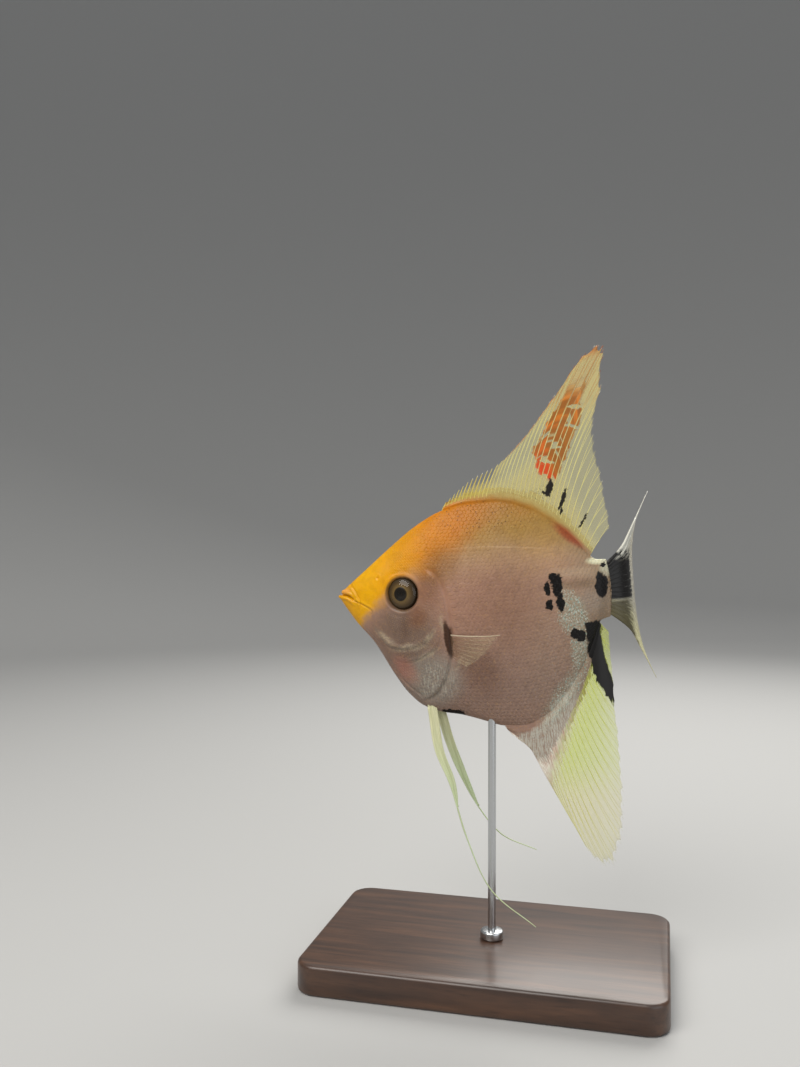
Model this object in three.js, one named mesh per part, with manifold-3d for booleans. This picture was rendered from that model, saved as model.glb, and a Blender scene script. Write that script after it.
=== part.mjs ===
// Freshwater angelfish, koi colour form, as a still life-size model on a plain display stand.
// Millimetres, +Z up. The origin is the middle of the stand's underside.
//
// The fish is drawn in a frame of its own: x runs back from the snout, z is up towards the
// dorsal fin, and y crosses the body, with the fish's left side at -y. Its parts are made
// straight, and then the rear of the body and the fins on it are bent towards +y.
import * as THREE from "three";
import { mergeVertices } from "three/addons/utils/BufferGeometryUtils.js";
import Module from "manifold-3d";

const wasm = await Module();
wasm.setup();

// ---- driving dimensions ----
const standardLength = 76; // snout to the root of the tail fin
const gap = 0.3; // clear space between neighbouring pieces
const pitchDeg = 4.6; // the fish swims a little head down
const snoutHeight = 102; // of the snout above the table
const rodAt = 41; // where the rod meets the belly, back from the snout

const bendFrom = 58; // the body is straight up to here
const bendRadius = 52; // of the midline behind that
const finBendRadius = 8; // of the tail fin, which curls further round
const finTurnDeg = 88; // heading that the middle of the tail fin reaches
const finTurnLostDeg = { upper: 21, lower: 12 }; // less than that on its outermost rays

const eye = { x: 19.4, z: 0, radius: 4.7, depth: 2.9, y: 3.55, turnDeg: 12 };

const baseLength = 96;
const baseWidth = 60;
const baseThickness = 8;
const baseCorner = 6;
const baseEdge = 1; // chamfer round the base
const rodRadius = 1.1;
const rodInBelly = 6;
const rodInBase = 5;
const collarRadius = 3.2;
const collarHeight = 2.4;

// ---- small helpers ----
const rad = THREE.MathUtils.degToRad;
const lerp = THREE.MathUtils.lerp;
const clamp = THREE.MathUtils.clamp;

// A smooth function through [at, value] pairs: cubic pieces, with slopes that add no overshoot.
function through(pairs) {
  const slope = (i) =>
    (pairs[i + 1][1] - pairs[i][1]) / (pairs[i + 1][0] - pairs[i][0]);
  const tangents = pairs.map((_, i) => {
    if (i === 0) return slope(0);
    if (i === pairs.length - 1) return slope(i - 1);
    const [before, after] = [slope(i - 1), slope(i)];
    return before * after <= 0 ? 0 : (2 * before * after) / (before + after);
  });
  return (at) => {
    const last = pairs.length - 2;
    const i = clamp(pairs.findIndex((p) => p[0] > at) - 1, 0, last);
    const j = at >= pairs[pairs.length - 1][0] ? last : i;
    const width = pairs[j + 1][0] - pairs[j][0];
    const t = clamp((at - pairs[j][0]) / width, 0, 1);
    const t2 = t * t;
    const t3 = t2 * t;
    return (
      (2 * t3 - 3 * t2 + 1) * pairs[j][1] +
      (t3 - 2 * t2 + t) * width * tangents[j] +
      (3 * t2 - 2 * t3) * pairs[j + 1][1] +
      (t3 - t2) * width * tangents[j + 1]
    );
  };
}

function geometryFrom(positions, triangles) {
  const geometry = new THREE.BufferGeometry();
  geometry.setAttribute(
    "position",
    new THREE.Float32BufferAttribute(positions, 3),
  );
  geometry.setIndex(triangles);
  return geometry;
}

function solidOf(geometry) {
  const bare = geometry.clone();
  for (const name of Object.keys(bare.attributes))
    if (name !== "position") bare.deleteAttribute(name);
  const merged = mergeVertices(bare, 1e-4);
  return new wasm.Manifold(
    new wasm.Mesh({
      numProp: 3,
      vertProperties: merged.attributes.position.array,
      triVerts: new Uint32Array(merged.index.array),
    }),
  );
}

function geometryOf(solid) {
  const mesh = solid.getMesh();
  const positions = [];
  for (let i = 0; i < mesh.numVert; i++)
    positions.push(...mesh.vertProperties.subarray(i * 3, i * 3 + 3));
  return geometryFrom(positions, Array.from(mesh.triVerts));
}

// A prism whose outline lies in the side view, [x, z], and which spans y from low to high.
function sidePrism(outline, low, high) {
  const shape = new THREE.Shape(outline.map(([x, z]) => new THREE.Vector2(x, z)));
  const geometry = new THREE.ExtrudeGeometry(shape, {
    depth: high - low,
    bevelEnabled: false,
  });
  return solidOf(geometry.rotateX(Math.PI / 2).translate(0, high, 0));
}

// A smooth line through [x, z] points of the side view.
function sideLine(points, closed, steps) {
  const curve = new THREE.CatmullRomCurve3(
    points.map(([x, z]) => new THREE.Vector3(x, 0, z)),
    closed,
    "centripetal",
  );
  const line = curve.getSpacedPoints(steps).map((p) => [p.x, p.z]);
  if (closed) line.pop();
  return line;
}

// ---- the bend of the body ----
// Position and heading of the midline at x, in plan.
function midline(x) {
  const turn = Math.max(0, x - bendFrom) / bendRadius;
  return {
    x: Math.min(x, bendFrom) + bendRadius * Math.sin(turn),
    y: bendRadius * (1 - Math.cos(turn)),
    turn,
  };
}

function bent(geometry) {
  const at = geometry.attributes.position;
  for (let i = 0; i < at.count; i++) {
    const [x, y, z] = [at.getX(i), at.getY(i), at.getZ(i)];
    const m = midline(x);
    at.setXYZ(i, m.x - y * Math.sin(m.turn), m.y + y * Math.cos(m.turn), z);
  }
  return geometry;
}

// ---- the body's form ----
const backLine = through([
  [0, 1.0], [2.5, 3.1], [8, 7.3], [16, 13.4], [24, 18.9], [31, 22.2], [39, 23.9],
  [47, 23.8], [55, 21.5], [62, 17.0], [67, 12.2], [70.5, 7.8], [73, 5.7], [77, 5.5],
]);
const bellyLine = through([
  [0, -0.7], [1.5, -3.2], [4.5, -7.8], [9, -13.4], [14.5, -23.2], [18, -28.3],
  [22, -31.9], [27, -33.9], [33, -35.0], [39, -36.8], [44, -38.3], [50, -38.7],
  [56, -36.4], [62, -30.9], [67, -23.4], [70.5, -16.0], [73, -10.9], [77, -9.9],
]);
const widestLine = through([
  [0, 0.1], [12, -1.5], [30, -7], [50, -7.5], [66, -5], [77, -2.2],
]);
const halfWidth = through([
  [0, 1.3], [2, 2.0], [6, 3.1], [12, 4.4], [19, 5.5], [27, 6.3], [35, 6.5],
  [44, 6.0], [54, 4.8], [63, 3.4], [71, 2.3], [77, 1.7],
]);
// How sharp the keel is: 0.5 is a round edge, 1 is a knife edge.
const backKeel = through([[0, 0.5], [15, 0.56], [35, 0.7], [60, 0.75], [73, 0.55]]);
const bellyKeel = through([[0, 0.5], [15, 0.58], [30, 0.6], [45, 0.72], [62, 0.85], [73, 0.55]]);

// The point of the skin at station x and angle t, 0 at the back and turning towards +y.
function skinPoint(x, t) {
  const height = Math.cos(t);
  const widest = widestLine(x);
  const reach = height > 0 ? backLine(x) - widest : widest - bellyLine(x);
  const keel = height > 0 ? backKeel(x) : bellyKeel(x);
  const thickness = Math.pow(Math.max(0, 1 - height * height), keel);
  return [x, Math.sign(Math.sin(t)) * halfWidth(x) * thickness, widest + reach * height];
}

// Half the body's thickness at a point of the side view.
function halfThickness(x, z) {
  const widest = widestLine(x);
  const reach = z > widest ? backLine(x) - widest : widest - bellyLine(x);
  const height = clamp((z - widest) / reach, -1, 1);
  const keel = z > widest ? backKeel(x) : bellyKeel(x);
  return halfWidth(x) * Math.pow(1 - height * height, keel);
}

function wholeBody() {
  const around = 28;
  const spacing = through([[0, 0.8], [6, 1.6], [15, 2.4], [55, 2.4], [68, 1.6], [76, 1.6]]);
  const stations = [0];
  while (stations.at(-1) < standardLength - 1)
    stations.push(stations.at(-1) + spacing(stations.at(-1)));
  stations.push(standardLength);
  const positions = [];
  for (const x of stations)
    for (let k = 0; k < around; k++)
      positions.push(...skinPoint(x, (2 * Math.PI * k) / around));
  const front = positions.length / 3;
  const back = front + 1;
  positions.push(-0.4, 0, 0.1, standardLength, 0, widestLine(standardLength));
  const triangles = [];
  for (let k = 0; k < around; k++) {
    const next = (k + 1) % around;
    for (let i = 0; i < stations.length - 1; i++) {
      const [a, b] = [i * around, (i + 1) * around];
      triangles.push(a + k, b + k, b + next, a + k, b + next, a + next);
    }
    const end = (stations.length - 1) * around;
    triangles.push(front, k, next, back, end + next, end + k);
  }
  return solidOf(geometryFrom(positions, triangles));
}

// ---- where the body is parted ----
const far = 60; // past the body on every side
const gillOpening = sideLine([
  [22, 40], [27, 17], [30.6, 6], [31.8, -4], [31.4, -14], [30.6, -21], [27.6, -28], [22, -45],
], false, 18);
const gillCover = sideLine([
  [26.6, 3.2], [30.2, -2], [30.9, -9], [30.4, -17], [28, -24.2], [24, -28.6],
  [19.6, -28], [15.8, -23], [14.4, -17.6], [19.8, -19.4], [24.8, -16.4], [26.2, -9], [25.2, -2],
], true, 26);
const jawLine = [[-3, 1.7], [0.5, 0.8], [3.8, -2.8], [5.3, -6.3], [4.3, -13]]; // gape, then the jaw's hind edge
const peduncleFrom = 70.6;

// A closed outline moved outwards by a distance all round.
function grown(outline, distance) {
  const turnsLeft = THREE.ShapeUtils.area(outline.map(([x, y]) => new THREE.Vector2(x, y))) > 0;
  return outline.map(([x, z], i) => {
    const before = outline.at(i - 1);
    const after = outline[(i + 1) % outline.length];
    const out = new THREE.Vector2(after[1] - before[1], before[0] - after[0]);
    out.setLength(turnsLeft ? distance : -distance);
    return [x + out.x, z + out.y];
  });
}

const shifted = (line, dx, dz = 0) => line.map(([x, z]) => [x + dx, z + dz]);
const forwardOf = (line, dx) => [[-far, -far], ...shifted(line, dx).reverse(), [-far, far]];
const behind = (line, dx, toX) => [...shifted(line, dx), [toX, -far], [toX, far]];

function eyeGeometry(side, extra = 0) {
  const radius = eye.radius + extra;
  return new THREE.SphereGeometry(1, 16, 10)
    .scale(radius, eye.depth + extra, radius)
    .rotateZ(side * rad(eye.turnDeg))
    .translate(eye.x, side * eye.y, eye.z);
}

// ---- fins ----
// A closed plate about a grid of points, grid[column][row], with its own thickness at each.
function plate(grid, thicknessAt) {
  const [columns, rows] = [grid.length, grid[0].length];
  const difference = (a, b) => new THREE.Vector3().subVectors(a, b);
  const positions = [];
  for (const side of [1, -1])
    for (let j = 0; j < columns; j++)
      for (let k = 0; k < rows; k++) {
        const across = difference(
          grid[Math.min(j + 1, columns - 1)][k], grid[Math.max(j - 1, 0)][k]);
        const along = difference(
          grid[j][Math.min(k + 1, rows - 1)], grid[j][Math.max(k - 1, 0)]);
        const offset = across.cross(along).normalize()
          .multiplyScalar((side * thicknessAt(j, k)) / 2);
        positions.push(...grid[j][k].clone().add(offset).toArray());
      }
  const near = (j, k) => j * rows + k;
  const farSide = (j, k) => columns * rows + j * rows + k;
  const triangles = [];
  const quad = (a, b, c, d) => triangles.push(a, b, c, a, c, d);
  for (let j = 0; j < columns - 1; j++)
    for (let k = 0; k < rows - 1; k++) {
      quad(near(j, k), near(j + 1, k), near(j + 1, k + 1), near(j, k + 1));
      quad(farSide(j, k), farSide(j, k + 1), farSide(j + 1, k + 1), farSide(j + 1, k));
    }
  const edge = [];
  for (let j = 0; j < columns - 1; j++) edge.push([j, 0]);
  for (let k = 0; k < rows - 1; k++) edge.push([columns - 1, k]);
  for (let j = columns - 1; j > 0; j--) edge.push([j, rows - 1]);
  for (let k = rows - 1; k > 0; k--) edge.push([0, k]);
  edge.forEach((from, i) => {
    const to = edge[(i + 1) % edge.length];
    quad(near(...from), farSide(...from), farSide(...to), near(...to));
  });
  return geometryFrom(positions, triangles);
}

// The columns of a fin: a ray, then the web to the next ray, and so on. at(q, k) is the point of
// ray position q, 0 to 1 along the fin, at share k of its length.
function finPlate({ rays, from, to, rows, at, notch, rayThickness, webThickness }) {
  const grid = [];
  for (let j = from; j <= to; j++) {
    const onRay = j % 2 === 0;
    const reach = onRay ? 1 : 1 - notch;
    const column = [];
    for (let k = 0; k <= rows; k++) column.push(at(j / (2 * rays - 2), (k / rows) * reach));
    grid.push(column);
  }
  return plate(grid, (j, k) => {
    const full = (from + j) % 2 === 0 ? rayThickness : webThickness;
    return lerp(full, 0.5, k / rows);
  });
}

// A ray's line from root to tip, bowed forward by a share of its length.
function bowed(root, tip, share, bow) {
  const [dx, dz] = [tip[0] - root[0], tip[1] - root[1]];
  const lift = 4 * bow * share * (1 - share);
  return [root[0] + dx * share - dz * lift, root[1] + dz * share + dx * lift];
}

const dorsal = {
  spines: 12, softRays: 25, from: 32, to: 71.5,
  tipX: through([
    [0, 33], [0.16, 40.6], [0.3, 48], [0.44, 56], [0.54, 66], [0.62, 76], [0.67, 80.6],
    [0.74, 78.6], [0.82, 75], [0.92, 76.6], [1, 77.6],
  ]),
  tipZ: through([
    [0, 24.6], [0.16, 30.2], [0.3, 33.6], [0.44, 40.5], [0.54, 52], [0.62, 63.6], [0.67, 64.9],
    [0.74, 54], [0.82, 41], [0.92, 25.5], [1, 14.2],
  ]),
};
const anal = {
  spines: 6, softRays: 26, from: 45, to: 72.6,
  tipX: through([
    [0, 46.8], [0.12, 51.6], [0.2, 56.2], [0.3, 62], [0.38, 66.5], [0.46, 71], [0.58, 74.6],
    [0.72, 75.6], [0.86, 75.2], [1, 74.8],
  ]),
  tipZ: through([
    [0, -41.2], [0.12, -45.5], [0.2, -55.5], [0.3, -67.5], [0.38, -76], [0.46, -78.6], [0.58, -68],
    [0.72, -52], [0.86, -35], [1, -14],
  ]),
};

// One stretch of a fin that stands on the body's edge, between two of its columns.
function medianFin(fin, edgeLine, away, from, to, options) {
  const rays = fin.spines + fin.softRays;
  const at = (q, share) => {
    const x = lerp(fin.from, fin.to, q);
    const root = [x, edgeLine(x) + away * (gap + 0.15)];
    const [px, pz] = bowed(root, [fin.tipX(q), fin.tipZ(q)], share, options.bow);
    return new THREE.Vector3(px, 0, pz);
  };
  return bent(finPlate({ rays, from, to, at, ...options }));
}

const tailFin = {
  rays: 15, rootHalf: 7.2, fanDeg: 38,
  length: through([
    [-1, 28.5], [-0.9, 24], [-0.75, 21.5], [0, 19.5], [0.75, 20.5], [0.9, 22], [1, 25],
  ]),
};

// The tail fin's surface: f from -1 at its lowest ray to 1 at its highest, r out from its root.
function tailFinPoint(f, r) {
  const start = midline(standardLength + gap);
  const lost = f > 0 ? finTurnLostDeg.upper : finTurnLostDeg.lower;
  const most = rad(finTurnDeg - lost * Math.abs(f) ** 3);
  const curl = Math.min(r / finBendRadius, most - start.turn);
  const straight = Math.max(0, r - curl * finBendRadius);
  const turn = start.turn + curl;
  return new THREE.Vector3(
    start.x + finBendRadius * (Math.sin(turn) - Math.sin(start.turn)) + straight * Math.cos(turn),
    start.y + finBendRadius * (Math.cos(start.turn) - Math.cos(turn)) + straight * Math.sin(turn),
    widestLine(standardLength) + f * (tailFin.rootHalf + r * Math.tan(rad(tailFin.fanDeg))),
  );
}

// A pectoral fin: its longest ray lies highest, and the others grow shorter below it.
function pectoralFin(side) {
  const fin = { rays: 9, x: 33.2, top: -12, height: 6.4, flareDeg: 33 };
  const tipX = through([[0, 48.2], [0.35, 44.8], [0.7, 40.4], [1, 37]]);
  const tipZ = through([[0, -11.4], [0.35, -15.2], [0.7, -18.8], [1, -20.6]]);
  return finPlate({
    rays: fin.rays, from: 0, to: 2 * fin.rays - 2, rows: 3, notch: 0.05,
    rayThickness: 0.6, webThickness: 0.5,
    at: (q, share) => {
      const root = [fin.x, fin.top - fin.height * q];
      const [x, z] = bowed(root, [tipX(q), tipZ(q)], share, -0.03);
      const out = halfThickness(fin.x, root[1]) + 0.8 + (x - fin.x) * Math.tan(rad(fin.flareDeg));
      return new THREE.Vector3(x, side * out, z);
    },
  });
}

// A pelvic fin: a narrow blade whose leading ray runs on as a long filament.
function pelvicFin({ leading, bladeWidth, bladeShare }) {
  const curve = new THREE.CatmullRomCurve3(
    leading.map((p) => new THREE.Vector3(...p)), false, "centripetal");
  const [columns, rows, filament] = [4, 20, 0.62];
  const grid = [];
  for (let j = 0; j < columns; j++) {
    const column = [];
    for (let k = 0; k <= rows; k++) {
      const share = Math.pow(k / rows, 0.85);
      const along = clamp(share / bladeShare, 0, 1);
      const blade = bladeWidth * Math.pow(1 - along, 0.8) * (0.72 + 0.9 * along);
      const width = Math.max(filament, blade);
      const p = curve.getPointAt(share);
      const tangent = curve.getTangentAt(share);
      const across = new THREE.Vector3(0, 1, 0).cross(tangent).normalize().negate();
      column.push(p.addScaledVector(across, (width * j) / (columns - 1)));
    }
    grid.push(column);
  }
  return plate(grid, () => 0.6);
}

// ---- materials ----
const finish = (color, roughness, metalness = 0) =>
  new THREE.MeshStandardMaterial({ color, roughness, metalness });
const materials = {
  crown: finish(0xe0a818, 0.4),
  flank: finish(0xa58a72, 0.4),
  fin: finish(0xc9c48e, 0.5),
  feeler: finish(0xcfd6ae, 0.5),
  eye: finish(0x5a4420, 0.1),
  wood: finish(0x3a2a20, 0.5),
  steel: finish(0xb8bbbe, 0.3, 1),
};

function named(name, geometry, material) {
  geometry.computeVertexNormals();
  const mesh = new THREE.Mesh(geometry, material);
  mesh.name = name;
  return mesh;
}

// ---- assembly ----
const fish = new THREE.Group();
fish.rotation.y = -rad(pitchDeg);
const bellyAtRod = new THREE.Vector3(rodAt, 0, bellyLine(rodAt)).applyEuler(fish.rotation);
fish.position.set(-bellyAtRod.x, 0, snoutHeight);
fish.updateMatrixWorld(true);
const rodTop = snoutHeight + bellyAtRod.z + rodInBelly;

function rodGeometry(radius, bottom, top, sides = 20) {
  return new THREE.CylinderGeometry(radius, radius, top - bottom, sides)
    .rotateX(Math.PI / 2)
    .translate(0, 0, (bottom + top) / 2);
}

function addBody() {
  const body = wholeBody();
  const rodSocket = solidOf(
    rodGeometry(rodRadius + gap, rodTop - 4 * rodInBelly, rodTop + gap)
      .applyMatrix4(fish.matrixWorld.clone().invert()));
  const headWhole = body.intersect(sidePrism(forwardOf(gillOpening, -gap / 2), -far, far));
  const jawRegion = [...jawLine, [-far, -13]];
  const jawHole = [...shifted(jawLine, gap, gap), [4.3 + gap, -far], [-far, -far]];
  const sides = [["left", -1], ["right", 1]];
  const coverDepth = 3.2; // the gill covers' inner face, out from the middle
  let head = headWhole.subtract(sidePrism(jawHole, -far, far));
  for (const [name, side] of sides) {
    const [low, high] = side < 0 ? [-far, -coverDepth] : [coverDepth, far];
    const [holeLow, holeHigh] = side < 0 ? [-far, gap - coverDepth] : [coverDepth - gap, far];
    const cover = sidePrism(gillCover, low, high);
    fish.add(named("gill_cover_" + name, bent(geometryOf(headWhole.intersect(cover))), materials.flank));
    head = head
      .subtract(sidePrism(grown(gillCover, gap), holeLow, holeHigh))
      .subtract(solidOf(eyeGeometry(side, gap)));
    fish.add(named("eye_" + name, eyeGeometry(side), materials.eye));
  }
  const jaw = headWhole.intersect(sidePrism(jawRegion, -far, far));
  const trunk = body
    .intersect(sidePrism(behind(gillOpening, gap / 2, peduncleFrom - gap / 2), -far, far))
    .subtract(rodSocket);
  const peduncle = body.intersect(
    sidePrism([[peduncleFrom + gap / 2, -far], [far * 2, -far], [far * 2, far], [peduncleFrom + gap / 2, far]],
      -far, far));
  fish.add(
    named("head", bent(geometryOf(head)), materials.crown),
    named("lower_jaw", bent(geometryOf(jaw)), materials.crown),
    named("trunk", bent(geometryOf(trunk)), materials.flank),
    named("tail", bent(geometryOf(peduncle)), materials.flank),
  );
}

function addFins() {
  const spiny = { rows: 3, notch: 0.2, bow: 0.03, rayThickness: 0.9, webThickness: 0.5 };
  const soft = { rows: 4, notch: 0.03, bow: 0.04, rayThickness: 0.75, webThickness: 0.5 };
  for (const [name, fin, line, away, flip] of [
    ["dorsal", dorsal, backLine, 1, 1],
    ["anal", anal, bellyLine, -1, -1],
  ]) {
    const lastSpine = 2 * fin.spines - 2;
    const lastRay = 2 * (fin.spines + fin.softRays) - 2;
    const spinyFin = medianFin(fin, line, away, 0, lastSpine, { ...spiny, bow: spiny.bow * flip });
    const softFin = medianFin(fin, line, away, lastSpine + 1, lastRay, { ...soft, bow: soft.bow * flip });
    fish.add(named(name + "_fin_spiny", spinyFin, materials.fin));
    fish.add(named(name + "_fin_soft", softFin, materials.fin));
  }
  const tail = finPlate({
    rays: tailFin.rays, from: 0, to: 2 * tailFin.rays - 2, rows: 7, notch: 0.02,
    rayThickness: 0.8, webThickness: 0.5,
    at: (q, share) => tailFinPoint(2 * q - 1, share * tailFin.length(2 * q - 1)),
  });
  fish.add(named("tail_fin", tail, materials.fin));
  fish.add(named("pectoral_fin_left", pectoralFin(-1), materials.fin));
  fish.add(named("pectoral_fin_right", pectoralFin(1), materials.fin));
  const left = {
    leading: [[23.6, -1.5, -33.6], [24.9, -3, -44], [28.9, -4.2, -54], [32.4, -5, -68],
      [38.2, -5.6, -82], [49.6, -6.2, -91.6]],
    bladeWidth: 3.6, bladeShare: 0.42,
  };
  const right = {
    leading: [[25.2, 1.5, -34], [26.6, 3, -42.5], [29.6, 4.2, -52], [34, 5, -61.5],
      [40.2, 5.6, -70], [49.6, 6.2, -74.6]],
    bladeWidth: 3.6, bladeShare: 0.6,
  };
  fish.add(named("pelvic_fin_left", pelvicFin(left), materials.feeler));
  fish.add(named("pelvic_fin_right", pelvicFin(right), materials.feeler));
}

function addStand(whole) {
  const plan = new THREE.Shape();
  const [halfX, halfY, corner] = [baseLength / 2 - baseEdge, baseWidth / 2 - baseEdge, baseCorner];
  plan.moveTo(-halfX + corner, -halfY);
  plan.lineTo(halfX - corner, -halfY);
  plan.absarc(halfX - corner, -halfY + corner, corner, -Math.PI / 2, 0);
  plan.lineTo(halfX, halfY - corner);
  plan.absarc(halfX - corner, halfY - corner, corner, 0, Math.PI / 2);
  plan.lineTo(-halfX + corner, halfY);
  plan.absarc(-halfX + corner, halfY - corner, corner, Math.PI / 2, Math.PI);
  plan.lineTo(-halfX, -halfY + corner);
  plan.absarc(-halfX + corner, -halfY + corner, corner, Math.PI, 1.5 * Math.PI);
  const block = new THREE.ExtrudeGeometry(plan, {
    depth: baseThickness - 2 * baseEdge, bevelEnabled: true,
    bevelThickness: baseEdge, bevelSize: baseEdge, bevelSegments: 1, curveSegments: 4,
  }).translate(0, 0, baseEdge);
  const hole = rodGeometry(rodRadius + gap, baseThickness - rodInBase - gap, baseThickness + 1);
  const base = solidOf(block).subtract(solidOf(hole));
  const collar = solidOf(rodGeometry(collarRadius, baseThickness + gap, baseThickness + collarHeight))
    .subtract(solidOf(rodGeometry(rodRadius + gap, 0, rodTop)));
  whole.add(
    named("stand_base", geometryOf(base), materials.wood),
    named("stand_collar", geometryOf(collar), materials.steel),
    named("stand_rod", rodGeometry(rodRadius, baseThickness - rodInBase, rodTop), materials.steel),
  );
}

const angelfish = new THREE.Group();
angelfish.add(fish);
addBody();
addFins();
addStand(angelfish);

export default angelfish;
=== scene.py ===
import math

import bpy
import numpy as np
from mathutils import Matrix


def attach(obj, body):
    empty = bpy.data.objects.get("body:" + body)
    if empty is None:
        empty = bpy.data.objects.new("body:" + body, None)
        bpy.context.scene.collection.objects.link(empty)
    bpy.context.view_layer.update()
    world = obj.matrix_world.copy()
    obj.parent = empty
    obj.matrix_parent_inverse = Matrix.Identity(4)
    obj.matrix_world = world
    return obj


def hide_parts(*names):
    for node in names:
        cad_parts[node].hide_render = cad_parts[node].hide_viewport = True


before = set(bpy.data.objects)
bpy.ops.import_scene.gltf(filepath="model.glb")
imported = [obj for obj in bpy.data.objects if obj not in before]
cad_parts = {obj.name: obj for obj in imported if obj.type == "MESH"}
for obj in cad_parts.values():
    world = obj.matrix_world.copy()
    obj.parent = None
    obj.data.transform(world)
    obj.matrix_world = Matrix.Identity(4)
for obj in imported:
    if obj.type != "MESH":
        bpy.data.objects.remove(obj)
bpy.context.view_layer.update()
chance = np.random.default_rng(11)
print("solids loaded")

# camera, lamps and floor

view = {"place": (0.04603, -0.28048, 0.12406), "turn": (89.257, 0, 14.472), "lens": 34.55, "near": 0.005}
lampAim = (0, 0, 0.095)  # all lamps face the middle of the fish
lamps = {
    "key": {"place": (-0.2, -0.42, 0.58), "size": 0.5, "power": 5.0, "tint": (1.0, 0.97, 0.92)},
    "fill": {"place": (0.5, -0.35, 0.2), "size": 0.6, "power": 1.6, "tint": (0.94, 0.97, 1.0)},
    "back": {"place": (0.1, 0.42, 0.5), "size": 0.5, "power": 4.0, "tint": (1.0, 0.98, 0.94)},
}
room = {
    "floor": (0.38, 0.38, 0.375), "air": (0.78, 0.79, 0.8), "airPower": 0.5, "flat": 0.75,
    "soft": 0.35, "rise": 1.1,
}


def deselectAll():
    bpy.ops.object.select_all(action="DESELECT")


def addCamera():
    turn = [math.radians(angle) for angle in view["turn"]]
    bpy.ops.object.camera_add(location=view["place"], rotation=turn)
    camera = bpy.context.object
    camera.name = "showCamera"
    camera.data.lens = view["lens"]
    camera.data.clip_start = view["near"]
    bpy.context.scene.camera = camera


def addLamps():
    for name, lamp in lamps.items():
        away = np.array(lamp["place"]) - lampAim
        tilt = math.acos(away[2] / np.linalg.norm(away))
        turn = math.atan2(away[1], away[0]) + math.pi / 2
        bpy.ops.object.light_add(type="AREA", location=lamp["place"], rotation=(tilt, 0, turn))
        light = bpy.context.object
        light.name = name + "Lamp"
        light.data.size = lamp["size"]
        light.data.energy = lamp["power"]
        light.data.color = lamp["tint"]


def addRoom():  # a floor that curves up far out, and soft air round it
    bpy.ops.mesh.primitive_grid_add(x_subdivisions=96, y_subdivisions=96, size=5)
    floor = bpy.context.object
    floor.name = "floor"
    co = vertsOf(floor)
    out = np.maximum(0, np.hypot(co[:, 0], co[:, 1]) - room["flat"])
    co[:, 2] = room["rise"] * out**2 / (out + room["soft"])
    setVerts(floor, co)
    smooth(floor)
    material = newMaterial("paleFloor")
    principled({"Base Color": (*room["floor"], 1), "Roughness": 0.75})
    floor.data.materials.append(material)
    world = bpy.data.worlds.new("softAir")
    world.use_nodes = True
    world.node_tree.nodes["Background"].inputs["Color"].default_value = (*room["air"], 1)
    world.node_tree.nodes["Background"].inputs["Strength"].default_value = room["airPower"]
    bpy.context.scene.world = world
    bpy.context.scene.view_settings.view_transform = "Standard"


# curves and distances

def through(*pairs):  # a smooth curve through (at, value) pairs that never overshoots them
    at, value = np.array(pairs, float).T
    width = np.diff(at)
    slope = np.diff(value) / width
    same = slope[:-1] * slope[1:] > 0
    sums = np.where(same, slope[:-1] + slope[1:], 1)
    inner = np.where(same, 2 * slope[:-1] * slope[1:] / sums, 0)
    lean = np.concatenate([slope[:1], inner, slope[-1:]])

    def curve(x):
        x = np.asarray(x, float)
        i = np.clip(np.searchsorted(at, x, side="right") - 1, 0, len(width) - 1)
        t = np.clip((x - at[i]) / width[i], 0, 1)
        ends = (2 * t**3 - 3 * t**2 + 1) * value[i] + (3 * t**2 - 2 * t**3) * value[i + 1]
        leans = (t**3 - 2 * t**2 + t) * lean[i] + (t**3 - t**2) * lean[i + 1]
        return ends + leans * width[i]

    return curve


def fade(low, high, x):  # 0 at low, 1 at high, smooth between
    t = np.clip((x - low) / (high - low), 0, 1)
    return t * t * (3 - 2 * t)


def hump(gap, width):
    return np.exp(-((gap / width) ** 2))


def ring(away, height, middle, width):
    return height * hump(away - middle, width)


def smoothLine(points, steps=8):
    p = np.array(points, float)
    p = np.vstack([2 * p[0] - p[1], p, 2 * p[-1] - p[-2]])
    t = np.arange(steps)[:, None] / steps
    runs = []
    for a, b, c, d in zip(p[:-3], p[1:-2], p[2:-1], p[3:]):
        runs.append(
            0.5 * (2 * b + (c - a) * t + (2 * a - 5 * b + 4 * c - d) * t**2 + (3 * b - a - 3 * c + d) * t**3)
        )
    return np.vstack(runs + [p[-2:-1]])


def lineGap(x, z, line):  # distance to a line in the side view, which side of it, and how far along
    best = np.full(x.shape, 1e9)
    side = np.zeros(x.shape)
    along = np.zeros(x.shape)
    for k, (a, b) in enumerate(zip(line[:-1], line[1:])):
        step = b - a
        t = np.clip(((x - a[0]) * step[0] + (z - a[1]) * step[1]) / (step @ step), 0, 1)
        dx = x - a[0] - t * step[0]
        dz = z - a[1] - t * step[1]
        gap = np.hypot(dx, dz)
        near = gap < best
        best[near] = gap[near]
        side[near] = np.sign(step[0] * dz - step[1] * dx)[near]
        along[near] = ((k + t) / (len(line) - 1))[near]
    return best, side, along


# the fish's own frame

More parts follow.
